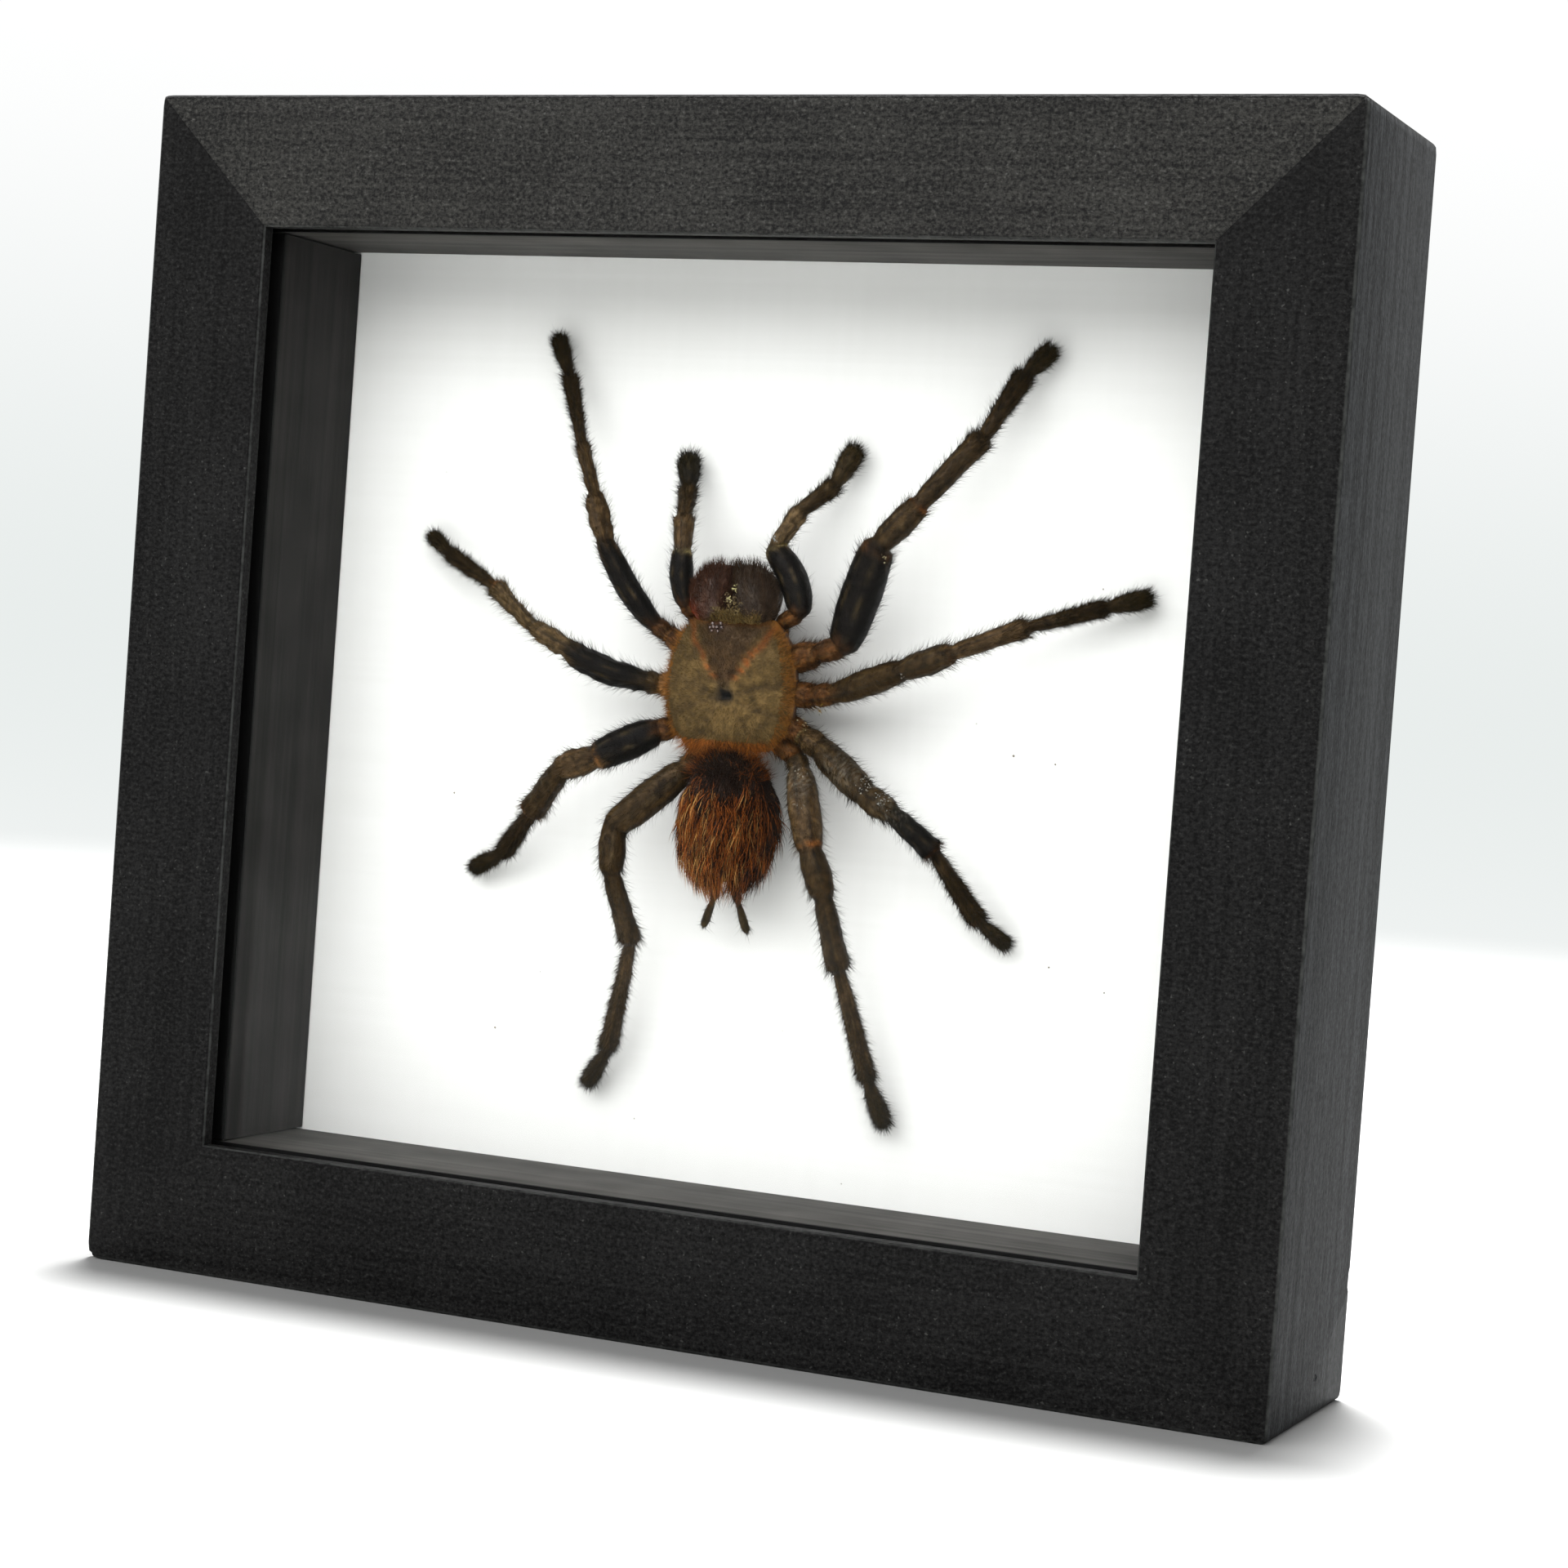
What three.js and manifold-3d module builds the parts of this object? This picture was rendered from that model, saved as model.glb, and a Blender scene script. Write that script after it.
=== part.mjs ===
// Framed tarantula specimen: a dried spider glued to a card board inside a black-stained box frame.
// Units are millimetres. X runs across the frame, Y from the glass to the back, Z up.
// The origin is the middle of the flat face the frame stands on.
import * as THREE from 'three';
import { mergeVertices } from 'three/addons/utils/BufferGeometryUtils.js';
import Module from 'manifold-3d';

const wasm = await Module();
wasm.setup();

// ---- driving dimensions ----
const FRAME_WIDTH = 200;
const FRAME_HEIGHT = 190;
const FRAME_DEPTH = 40;
const MOULDING = 21; // width of the moulding seen from the front
const REBATE = 6; // how far the rebate is cut in behind the lip
const LIP = 2.5; // thickness of the lip in front of the glass
const EASED = 0.4; // worn front edges of the mouldings
const GAP = 0.3; // clearance between pieces that touch
const GLASS_THICK = 3;
const BOARD_FACE = 30.5; // depth of the white card's face behind the front of the frame
const CARD_THICK = 1.2;
const BACKING_THICK = 3;
const FRONT = -FRAME_DEPTH / 2;
const BOARD_Y = FRONT + BOARD_FACE;

// ---- geometry helpers ----

// Welds a three.js geometry, drops the triangles that collapse at its poles and turns an
// inside-out one round.
function toSolid(geometry) {
  const bare = geometry.clone();
  bare.deleteAttribute('normal');
  bare.deleteAttribute('uv');
  const welded = mergeVertices(bare, 1e-4);
  const corner = (index) => new THREE.Vector3().fromBufferAttribute(welded.attributes.position, index);
  const triangles = [];
  let volume = 0;
  for (let i = 0; i < welded.index.count; i += 3) {
    const corners = [0, 1, 2].map((k) => welded.index.getX(i + k));
    if (new Set(corners).size < 3) continue;
    const [a, b, c] = corners.map(corner);
    volume += a.dot(b.cross(c));
    triangles.push(...corners);
  }
  if (volume < 0) triangles.reverse();
  return new wasm.Manifold(new wasm.Mesh({
    numProp: 3,
    vertProperties: new Float32Array(welded.attributes.position.array),
    triVerts: new Uint32Array(triangles),
  }));
}

function toGeometry(solid) {
  const mesh = solid.getMesh();
  const geometry = new THREE.BufferGeometry();
  geometry.setAttribute('position', new THREE.BufferAttribute(mesh.vertProperties, 3));
  geometry.setIndex(new THREE.BufferAttribute(mesh.triVerts, 1));
  geometry.computeVertexNormals();
  return geometry;
}

function joined(geometries) {
  return geometries.map(toSolid).reduce((whole, piece) => whole.add(piece));
}

// A box given by its lowest and highest corner.
function block(low, high) {
  const size = high.map((value, i) => value - low[i]);
  const middle = high.map((value, i) => (value + low[i]) / 2);
  return new THREE.BoxGeometry(...size).translate(...middle);
}

// A body of revolution about a line from one point to another. The profile lists
// [share of the way along, radius] and closes on the line at both ends.
function turnedAlong(from, to, profile, sides) {
  const start = new THREE.Vector3(...from);
  const way = new THREE.Vector3(...to).sub(start);
  const length = way.length();
  const outline = profile.map(([share, radius]) => new THREE.Vector2(radius, share * length));
  outline.unshift(new THREE.Vector2(0, outline[0].y));
  outline.push(new THREE.Vector2(0, outline[outline.length - 1].y));
  const turn = new THREE.Quaternion().setFromUnitVectors(new THREE.Vector3(0, 1, 0), way.normalize());
  return new THREE.LatheGeometry(outline, sides).applyQuaternion(turn).translate(...from);
}

function ellipsoid(centre, radii, across = 12, down = 8) {
  return new THREE.SphereGeometry(1, across, down).scale(...radii).translate(...centre);
}

const part = new THREE.Group();
part.name = 'framed_tarantula';

function addPiece(name, solid, material) {
  const mesh = new THREE.Mesh(toGeometry(solid), material);
  mesh.name = name;
  part.add(mesh);
}

// ---- materials ----
const plain = (name, color, roughness, metalness = 0) => {
  const material = new THREE.MeshStandardMaterial({ color, roughness, metalness });
  material.name = name;
  return material;
};
const stainedWood = plain('stained_wood', 0x2b2b2d, 0.6);
const spacerWood = plain('spacer_wood', 0x45443f, 0.75);
const glass = plain('glass', 0xe6efec, 0.05);
const card = plain('white_card', 0xeeeeec, 0.85);
const hardboard = plain('hardboard', 0x6f4d31, 0.8);
const steel = plain('steel', 0x9a9ca0, 0.4, 0.9);
const shell = plain('spider_shell', 0x2a1c15, 0.55);
const velvet = plain('carapace_velvet', 0x6d5430, 0.8);
const bristles = plain('abdomen_bristles', 0x6a3a1a, 0.85);
const glue = plain('clear_glue', 0xc9c3b2, 0.3);

// ---- spring points and hanger: sizes the mouldings are cut for ----
const POINT_WIDTH = 8;
const POINT_THICK = 0.5;
const POINT_REACH = 9; // from the tip in the wood to the end over the backing board
const POINT_BURIED = 4;
const POINT_Y = BOARD_Y + CARD_THICK + GAP + BACKING_THICK + GAP;
const POINT_SPREAD = 48; // between the middle of a side and each of its points
const HANGER_Z = FRAME_HEIGHT - 7.5;
const HANGER_THICK = 0.8;
const HANGER_BACK = FRAME_DEPTH / 2 + GAP;
const NAIL_RADIUS = 0.7;
const NAIL_DEEP = 7;
const NAIL_X = 19;

// The frame's sides in quarter turns from the bottom one.
const SIDES = [
  { name: 'bottom', moulding: 'rail_bottom', length: FRAME_WIDTH, turns: 0 },
  { name: 'right', moulding: 'stile_right', length: FRAME_HEIGHT, turns: 1 },
  { name: 'top', moulding: 'rail_top', length: FRAME_WIDTH, turns: 2 },
  { name: 'left', moulding: 'stile_left', length: FRAME_HEIGHT, turns: 3 },
];

// Carries a geometry made for the bottom side to another side of the frame.
function toSide(geometry, side) {
  const reach = (side.turns % 2 ? FRAME_WIDTH : FRAME_HEIGHT) / 2;
  return geometry
    .translate(0, 0, -reach)
    .rotateY(-side.turns * Math.PI / 2)
    .translate(0, 0, FRAME_HEIGHT / 2);
}

// ---- mitred mouldings with a rebate for the glass, the strips and the boards ----

const mouldingOutline = [
  [0, EASED], [EASED, 0], [MOULDING - EASED, 0], [MOULDING, EASED], [MOULDING, LIP],
  [MOULDING - REBATE, LIP], [MOULDING - REBATE, FRAME_DEPTH], [0, FRAME_DEPTH],
];

// The outline is swept along X and both ends are sheared to a 45 degree mitre. The moulding
// lies along the bottom of the frame with its inner side up.
function mitredMoulding(length) {
  const corners = mouldingOutline.map(([inset, depth]) => new THREE.Vector2(inset, depth));
  const swept = new THREE.ExtrudeGeometry(new THREE.Shape(corners), { depth: 1, bevelEnabled: false });
  const points = swept.attributes.position;
  for (let i = 0; i < points.count; i += 1) {
    const inset = points.getX(i);
    const end = points.getZ(i) > 0.5 ? 1 : -1;
    points.setXYZ(i, end * (length / 2 - GAP / 2 - inset), FRONT + points.getY(i), inset);
  }
  return swept;
}

// The slot that one spring point is driven into.
function pointSlot(x) {
  return block(
    [x - POINT_WIDTH / 2 - GAP, POINT_Y - GAP, MOULDING - REBATE - POINT_BURIED - GAP],
    [x + POINT_WIDTH / 2 + GAP, POINT_Y + POINT_THICK + GAP, MOULDING],
  );
}

function nailHole(x) {
  return turnedAlong(
    [x, FRAME_DEPTH / 2 - NAIL_DEEP - GAP, HANGER_Z], [x, FRAME_DEPTH / 2 + 1, HANGER_Z],
    [[0, NAIL_RADIUS + GAP], [1, NAIL_RADIUS + GAP]], 10,
  );
}

for (const side of SIDES) {
  let moulding = toSolid(toSide(mitredMoulding(side.length), side));
  for (const x of [-POINT_SPREAD, POINT_SPREAD]) {
    moulding = moulding.subtract(toSolid(toSide(pointSlot(x), side)));
  }
  if (side.name === 'top') {
    for (const x of [-NAIL_X, NAIL_X]) moulding = moulding.subtract(toSolid(nailHole(x)));
  }
  addPiece(side.moulding, moulding, stainedWood);
}

// ---- glass, card, backing board ----

// A flat sheet that fills the rebate at a depth behind the front of the frame.
function sheet(depth, thick) {
  const edge = MOULDING - REBATE + GAP;
  return toSolid(block(
    [-FRAME_WIDTH / 2 + edge, FRONT + depth, edge],
    [FRAME_WIDTH / 2 - edge, FRONT + depth + thick, FRAME_HEIGHT - edge],
  ));
}

const GLASS_DEPTH = LIP + GAP;
addPiece('glass_pane', sheet(GLASS_DEPTH, GLASS_THICK), glass);
addPiece('mount_card', sheet(BOARD_FACE, CARD_THICK), card);
addPiece('backing_board', sheet(BOARD_FACE + CARD_THICK + GAP, BACKING_THICK), hardboard);

// ---- strips that hold the card away from the glass: two full ones and two between them ----

for (const side of SIDES) {
  const outer = MOULDING - REBATE + GAP;
  const shorter = side.turns % 2 ? MOULDING + GAP : outer;
  const strip = block(
    [-side.length / 2 + shorter, FRONT + GLASS_DEPTH + GLASS_THICK + GAP, outer],
    [side.length / 2 - shorter, BOARD_Y - GAP, MOULDING],
  );
  addPiece(`spacer_${side.name}`, toSolid(toSide(strip, side)), spacerWood);
}

// ---- spring points behind the backing board ----

function springPoint(x) {
  const half = POINT_WIDTH / 2;
  const shoulder = POINT_REACH * 0.45;
  const outline = new THREE.Shape([
    new THREE.Vector2(-half * 0.35, 0), new THREE.Vector2(half * 0.35, 0),
    new THREE.Vector2(half, shoulder), new THREE.Vector2(half, POINT_REACH),
    new THREE.Vector2(-half, POINT_REACH), new THREE.Vector2(-half, shoulder),
  ]);
  return new THREE.ExtrudeGeometry(outline, { depth: POINT_THICK, bevelEnabled: false })
    .rotateX(Math.PI / 2)
    .translate(x, POINT_Y + POINT_THICK, MOULDING - REBATE - POINT_BURIED);
}

for (const side of SIDES) {
  addPiece(`point_${side.name}_a`, toSolid(toSide(springPoint(-POINT_SPREAD), side)), steel);
  addPiece(`point_${side.name}_b`, toSolid(toSide(springPoint(POINT_SPREAD), side)), steel);
}

// ---- saw-toothed hanger nailed to the back of the top rail ----

function hangerOutline() {
  const halfLength = 22.5;
  const halfHeight = 4;
  const toothedLength = 28;
  const teeth = 8;
  const pitch = toothedLength / teeth;
  const outline = new THREE.Shape();
  outline.moveTo(-halfLength, -halfHeight + 2);
  outline.lineTo(-toothedLength / 2, -halfHeight);
  for (let i = 0; i < teeth; i += 1) {
    const left = -toothedLength / 2 + pitch * i;
    outline.lineTo(left + pitch / 2, -halfHeight + 1.8);
    outline.lineTo(left + pitch, -halfHeight);
  }
  outline.lineTo(halfLength, -halfHeight + 2);
  outline.lineTo(halfLength, halfHeight - 1);
  outline.lineTo(-halfLength, halfHeight - 1);
  for (const x of [-NAIL_X, NAIL_X]) {
    outline.holes.push(new THREE.Path().absarc(x, 0, NAIL_RADIUS + GAP, 0, Math.PI * 2));
  }
  return outline;
}

const hanger = new THREE.ExtrudeGeometry(hangerOutline(), {
  depth: HANGER_THICK, bevelEnabled: false, curveSegments: 5,
}).rotateX(Math.PI / 2).translate(0, HANGER_BACK + HANGER_THICK, HANGER_Z);
addPiece('hanger_plate', toSolid(hanger), steel);

function nail(x) {
  const underHead = HANGER_BACK + HANGER_THICK + GAP;
  const tip = FRAME_DEPTH / 2 - NAIL_DEEP;
  const long = underHead + 0.7 - tip;
  const headAt = (underHead - tip) / long;
  const profile = [
    [0, 0.15], [1.5 / long, NAIL_RADIUS], [headAt, NAIL_RADIUS], [headAt, 1.5], [0.98, 1.4], [1, 0.9],
  ];
  return turnedAlong([x, tip, HANGER_Z], [x, underHead + 0.7, HANGER_Z], profile, 10);
}

addPiece('hanger_nail_left', toSolid(nail(-NAIL_X)), steel);
addPiece('hanger_nail_right', toSolid(nail(NAIL_X)), steel);

// ---- spider: heights are measured up from the card, along -Y ----

const at = ([x, z, height]) => [x, BOARD_Y - height, z];

// A body of revolution along Z, flattened towards the card. The profile lists [z, radius]
// from its lower end up; swell grows it all round.
function flattened(centre, profile, flat, swell, sides) {
  const outline = profile.map(([z, radius]) => new THREE.Vector2(radius + swell, z));
  outline[0].y -= swell;
  outline[outline.length - 1].y += swell;
  outline.unshift(new THREE.Vector2(0, outline[0].y));
  outline.push(new THREE.Vector2(0, outline[outline.length - 1].y));
  const body = new THREE.LatheGeometry(outline, sides).rotateX(Math.PI / 2);
  return body.scale(1, flat, 1).translate(...at(centre));
}

// ---- prosoma: the carapace with its raised head, eye mound and foveal pit ----

const PROSOMA_AT = [-0.4, 101.4, 9.6];
const prosomaProfile = [
  [-10.4, 6.6], [-8.6, 8.8], [-5, 10.2], [0, 11], [4, 10.4], [7.5, 8.6], [10, 7.2],
];

function prosoma(swell) {
  return joined([
    flattened(PROSOMA_AT, prosomaProfile, 0.52, swell, 18),
    ellipsoid(at([-0.6, 105.6, 11.8]), [5.4 + swell, 3.6 + swell, 5.4 + swell], 10, 6),
    ellipsoid(at([-1.2, 109.3, 14]), [1.6 + swell, 1.1 + swell, 1.2 + swell], 8, 5),
  ]);
}

const foveaPit = toSolid(ellipsoid(at([0.2, 99.4, 15.6]), [1.4, 0.9, 1], 8, 5));
addPiece('prosoma', prosoma(0).subtract(foveaPit), velvet);
const aroundProsoma = prosoma(GAP);

// ---- chelicerae: each a bulbous base with its fang folded back under it ----

function chelicera([x, z], swell) {
  const fangRoot = at([x, z + 3.2, 7.6]);
  const fangTip = at([x, z - 4, 6]);
  return joined([
    ellipsoid(at([x, z, 11]), [3.3 + swell, 4.2 + swell, 5.2 + swell], 10, 7),
    turnedAlong(fangRoot, fangTip, [[0, 1.1 + swell], [0.5, 0.9 + swell], [1, 0.25 + swell]], 6),
  ]).subtract(aroundProsoma);
}

const CHELICERAE = { left: [-4.3, 115.4], right: [3.2, 115.9] };
for (const [hand, place] of Object.entries(CHELICERAE)) {
  addPiece(`chelicera_${hand}`, chelicera(place, 0), shell);
}
const aroundChelicerae = chelicera(CHELICERAE.left, GAP).add(chelicera(CHELICERAE.right, GAP));

// ---- limbs: segments from the tip to the body, each fuller in the middle than at its joints ----

// The joints list [x, z, height over the card]; there is one radius for each segment.
function limb(joints, radii, swell) {
  const segments = radii.map((radius, i) => {
    const from = new THREE.Vector3(...at(joints[i]));
    const to = new THREE.Vector3(...at(joints[i + 1]));
    const lap = to.clone().sub(from).setLength(radius * 0.3);
    const full = radius + swell;
    const profile = [[0, full * 0.55], [0.12, full * 0.85], [0.5, full], [0.85, full * 0.9], [1, full * 0.6]];
    return turnedAlong(from.sub(lap).toArray(), to.add(lap).toArray(), profile, 7);
  });
  return joined(segments);
}

// Each leg's joints run tip, metatarsus, tibia, patella, femur, trochanter, coxa, root; its
// radii run tarsus, metatarsus, tibia, patella, femur, trochanter, coxa.
const LEGS = {
  leg_1_left: {
    joints: [[-39.4, 155.6, 2.6], [-35.8, 149, 4.6], [-30.3, 137.8, 9], [-25.5, 129.7, 13],
      [-22.8, 122.3, 13.5], [-14.7, 110, 9.8], [-12.9, 108.6, 8.8], [-7.5, 105, 8]],
    radii: [1.35, 1.3, 1.25, 1.7, 2, 1.7, 1.9],
  },
  leg_2_left: {
    joints: [[-60.3, 122.2, 2.6], [-55.4, 119.2, 4.6], [-44.2, 114.2, 9], [-34.8, 108.1, 13],
      [-27.8, 105.2, 13.5], [-15.8, 100.9, 9.8], [-13.7, 100.5, 8.8], [-8.6, 100.4, 8]],
    radii: [1.2, 1.3, 1.6, 1.8, 2.2, 2, 2.2],
  },
  leg_3_left: {
    joints: [[-48.3, 68, 2.6], [-41.8, 71.3, 4.6], [-34.9, 78.5, 9], [-28.2, 85.8, 13],
      [-21.7, 88.4, 13.5], [-12.9, 93.3, 9.8], [-10.9, 93.9, 8.8], [-7.6, 96.4, 8]],
    radii: [1.2, 1.5, 2.1, 2.3, 2.8, 2, 2],
  },
  leg_4_left: {
    joints: [[-24.8, 35, 2.6], [-20.4, 41.3, 4.6], [-15.5, 59.3, 9], [-17.9, 70.3, 13],
      [-17.7, 77.6, 13.5], [-7.9, 87.4, 9.8], [-6.5, 89.3, 8.8], [-6, 93, 8]],
    radii: [1.25, 1.4, 1.9, 2.3, 2.7, 1.8, 1.8],
  },
  leg_1_right: {
    joints: [[45.9, 156.1, 2.6], [42.3, 151.6, 4.6], [38, 141.6, 9], [30, 130.8, 13],
      [24, 124.1, 13.5], [17.7, 108.4, 9.8], [13, 107.1, 8.8], [6.6, 105.4, 8]],
    radii: [1.45, 1.6, 1.9, 2.2, 3.3, 2, 2.4],
  },
  leg_2_right: {
    joints: [[64.4, 119, 2.6], [58, 117, 4.6], [47.3, 113.2, 9], [37, 108.5, 13],
      [29.3, 105.3, 13.5], [16.9, 101.1, 9.8], [12.9, 100.4, 8.8], [8, 100.8, 8]],
    radii: [1.5, 1.5, 1.75, 2.1, 2.15, 1.9, 2.2],
  },
  leg_3_right: {
    joints: [[45.6, 64.4, 2.6], [41.4, 67.7, 4.6], [34.9, 78, 9], [29.1, 83.5, 13],
      [24.6, 86.1, 13.5], [15.2, 92.6, 9.8], [11.9, 93.9, 8.8], [7, 97, 8]],
    radii: [1.1, 1.6, 1.9, 2.2, 2.5, 2.1, 2],
  },
  leg_4_right: {
    joints: [[27.5, 34.4, 2.6], [25, 41.3, 4.6], [20.6, 58.5, 9], [18.8, 69.8, 13],
      [16.2, 76.9, 13.5], [11.9, 88.8, 9.8], [10.9, 90.7, 8.8], [6, 93.4, 8]],
    radii: [1.4, 1.45, 1.9, 2.3, 2.6, 1.9, 1.8],
  },
};

let aroundLegs = aroundProsoma;
for (const [name, { joints, radii }] of Object.entries(LEGS)) {
  addPiece(name, limb(joints, radii, 0).subtract(aroundLegs), shell);
  aroundLegs = aroundLegs.add(limb(joints, radii, GAP));
}

// Each palp's joints run tip, tibia, patella, femur, trochanter, coxa, root.
const PALPS = {
  palp_left: {
    joints: [[-14.4, 137.5, 2.6], [-12.9, 132, 5], [-11.9, 127.2, 8], [-10.5, 121.8, 10.5],
      [-9.4, 113.4, 10.3], [-8.9, 112, 8.6], [-6.2, 108.4, 7.6]],
    radii: [1.8, 1.6, 1.8, 2, 1.4, 1.5],
  },
  palp_right: {
    joints: [[14.8, 139.8, 2.6], [12.2, 133.5, 5], [8, 129, 8], [5.2, 123, 10.5],
      [10.1, 113, 10.3], [6.5, 111.5, 8.6], [6, 108.6, 7.6]],
    radii: [1.7, 1.6, 1.7, 2.4, 1.5, 1.5],
  },
};

const aroundPalps = aroundLegs.add(aroundChelicerae);
for (const [name, { joints, radii }] of Object.entries(PALPS)) {
  addPiece(name, limb(joints, radii, 0).subtract(aroundPalps), shell);
}

// ---- abdomen and its two long spinnerets ----

const ABDOMEN_AT = [0.6, 80.5, 10.2];
const abdomenProfile = [
  [-10.2, 1.8], [-9, 4.6], [-5.5, 7.6], [-1, 8.7], [3.5, 7.9], [7.5, 5.6], [10, 3],
];
const abdomen = (swell) => toSolid(flattened(ABDOMEN_AT, abdomenProfile, 0.82, swell, 16));
addPiece('abdomen', abdomen(0).subtract(aroundLegs), bristles);

const SPINNERETS = {
  spinneret_left: [[-1, 71, 9], [-2.2, 67.6, 7.4], [-4.4, 62.6, 6]],
  spinneret_right: [[1.4, 71, 9], [1.9, 67.4, 7.4], [3.3, 62.3, 6]],
};
const aroundAbdomen = abdomen(GAP);
for (const [name, joints] of Object.entries(SPINNERETS)) {
  addPiece(name, limb(joints, [0.85, 0.7], 0).subtract(aroundAbdomen), shell);
}

// ---- dabs of glue that hold the body on the card ----

const dab = (x, z, top, radius) => toSolid(turnedAlong(
  at([x, z, GAP]), at([x, z, top]), [[0, radius], [0.35, radius * 0.8], [1, radius * 0.6]], 12,
));
addPiece('glue_prosoma', dab(-0.4, 101.4, 3.5, 6.5), glue);
addPiece('glue_abdomen', dab(0.6, 80, 2.7, 4.5), glue);

export default part;
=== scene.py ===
"""Framed tarantula specimen: a dried spider glued on white card behind the glass of a box frame."""

import math

import bpy
import numpy as np
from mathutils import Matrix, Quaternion, Vector


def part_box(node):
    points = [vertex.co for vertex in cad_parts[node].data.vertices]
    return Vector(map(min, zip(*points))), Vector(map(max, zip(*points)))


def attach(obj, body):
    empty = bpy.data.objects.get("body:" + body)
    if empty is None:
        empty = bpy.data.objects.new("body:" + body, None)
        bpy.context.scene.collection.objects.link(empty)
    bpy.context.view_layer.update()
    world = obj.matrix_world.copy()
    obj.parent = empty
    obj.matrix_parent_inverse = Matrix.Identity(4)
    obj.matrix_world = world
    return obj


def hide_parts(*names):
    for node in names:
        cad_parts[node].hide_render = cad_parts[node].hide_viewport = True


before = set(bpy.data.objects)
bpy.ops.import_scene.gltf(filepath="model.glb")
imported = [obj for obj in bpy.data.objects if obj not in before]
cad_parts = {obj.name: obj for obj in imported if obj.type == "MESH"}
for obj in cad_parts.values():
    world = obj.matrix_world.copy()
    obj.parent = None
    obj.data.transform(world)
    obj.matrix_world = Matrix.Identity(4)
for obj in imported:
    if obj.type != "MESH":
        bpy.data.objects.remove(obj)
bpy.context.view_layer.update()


# ---- Mouldings ----
# Four mitred lengths of softwood moulding, glued at the corners and stained black.
# The stain is thin on the arrises, where their pale line is partly wear and partly painted
# highlight, and crinkled where it dried thick on the top rail.
# On the top rail a paler painted tone and painted glints stand for the light on the crinkles.
# The top face is painted near black as shade.

MM = 0.001
FRONT_Y = -20 * MM
HALF_WIDTH = 100 * MM
HEIGHT = 190 * MM
MOULDING_WIDTH = 21 * MM
EDGE_ROUNDING = 0.35 * MM
MITRE_REACH = 0.5 * MM
GLUE_LINE = 0.01 * MM


class Signal:
    """A socket of a shader tree. Sums and products of signals add their Math nodes."""

    def __init__(self, tree, socket):
        self.tree = tree
        self.socket = socket

    def node(self, kind, settings, sockets, output=0):
        node = self.tree.nodes.new("ShaderNode" + kind)
        for key, value in settings.items():
            setattr(node, key, value)
        for key, value in sockets.items():
            if isinstance(value, Signal):
                self.tree.links.new(value.socket, node.inputs[key])
            else:
                node.inputs[key].default_value = value
        return Signal(self.tree, node.outputs[output])

    def maths(self, operation, *others):
        return self.node("Math", {"operation": operation}, dict(enumerate((self, *others))))

    def __add__(self, other):
        return self.maths("ADD", other)

    def __sub__(self, other):
        return self.maths("SUBTRACT", other)

    def __rsub__(self, other):
        return self.maths("MULTIPLY_ADD", -1.0, other)

    def __mul__(self, other):
        return self.maths("MULTIPLY", other)

    __radd__ = __add__
    __rmul__ = __mul__

    def between(self, low, high):
        """0 below low, 1 above high, smooth in between."""
        return self.node(
            "MapRange",
            {"interpolation_type": "SMOOTHSTEP"},
            {"Value": self, "From Min": low, "From Max": high},
        )

    def stretched(self, x, y, z):
        """This position signal scaled along each axis."""
        return self.node("Mapping", {}, {"Vector": self, "Scale": (x, y, z)})

    def noise(self, scale, detail=2.0, roughness=0.5):
        return self.node(
            "TexNoise",
            {},
            {"Vector": self, "Scale": scale, "Detail": detail, "Roughness": roughness},
        )

    def axis(self, letter):
        return self.node("SeparateXYZ", {}, {"Vector": self}, letter)

    def tint(self, low, high):
        """Mixes two colours by this signal."""
        return self.node(
            "Mix",
            {"data_type": "RGBA"},
            {"Factor": self, 6: as_colour(low), 7: as_colour(high)},
            2,
        )

    def times(self, red, green, blue):
        """This colour multiplied by another."""
        return self.node(
            "Mix",
            {"data_type": "RGBA", "blend_type": "MULTIPLY"},
            {"Factor": 1.0, 6: self, 7: (red, green, blue, 1)},
            2,
        )

    def bump(self, height_mm, strength=1.0):
        return self.node(
            "Bump",
            {},
            {"Height": self, "Distance": height_mm * MM, "Strength": strength},
        )


def as_colour(value):
    return value if isinstance(value, Signal) else (*value, 1)


class Paint:
    """A material whose Principled shader takes its constants at once and its patterns later."""

    def __init__(self, name, **constants):
        self.material = bpy.data.materials.new(name)
        self.material.use_nodes = True
        tree = self.material.node_tree
        self.shader = tree.nodes["Principled BSDF"]
        for key, value in constants.items():
            self.shader.inputs[key.replace("_", " ")].default_value = value
        coordinates = tree.nodes.new("ShaderNodeTexCoord")
        self.place = Signal(tree, coordinates.outputs["Object"])

    def point_colours(self):
        return self.place.node("Attribute", {"attribute_name": "shade"}, {}, "Color")

    def finish(self, **signals):
        """Links the patterns and hands over the material."""
        for key, signal in signals.items():
            self.place.tree.links.new(signal.socket, self.shader.inputs[key.replace("_", " ")])
        return self.material


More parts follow.
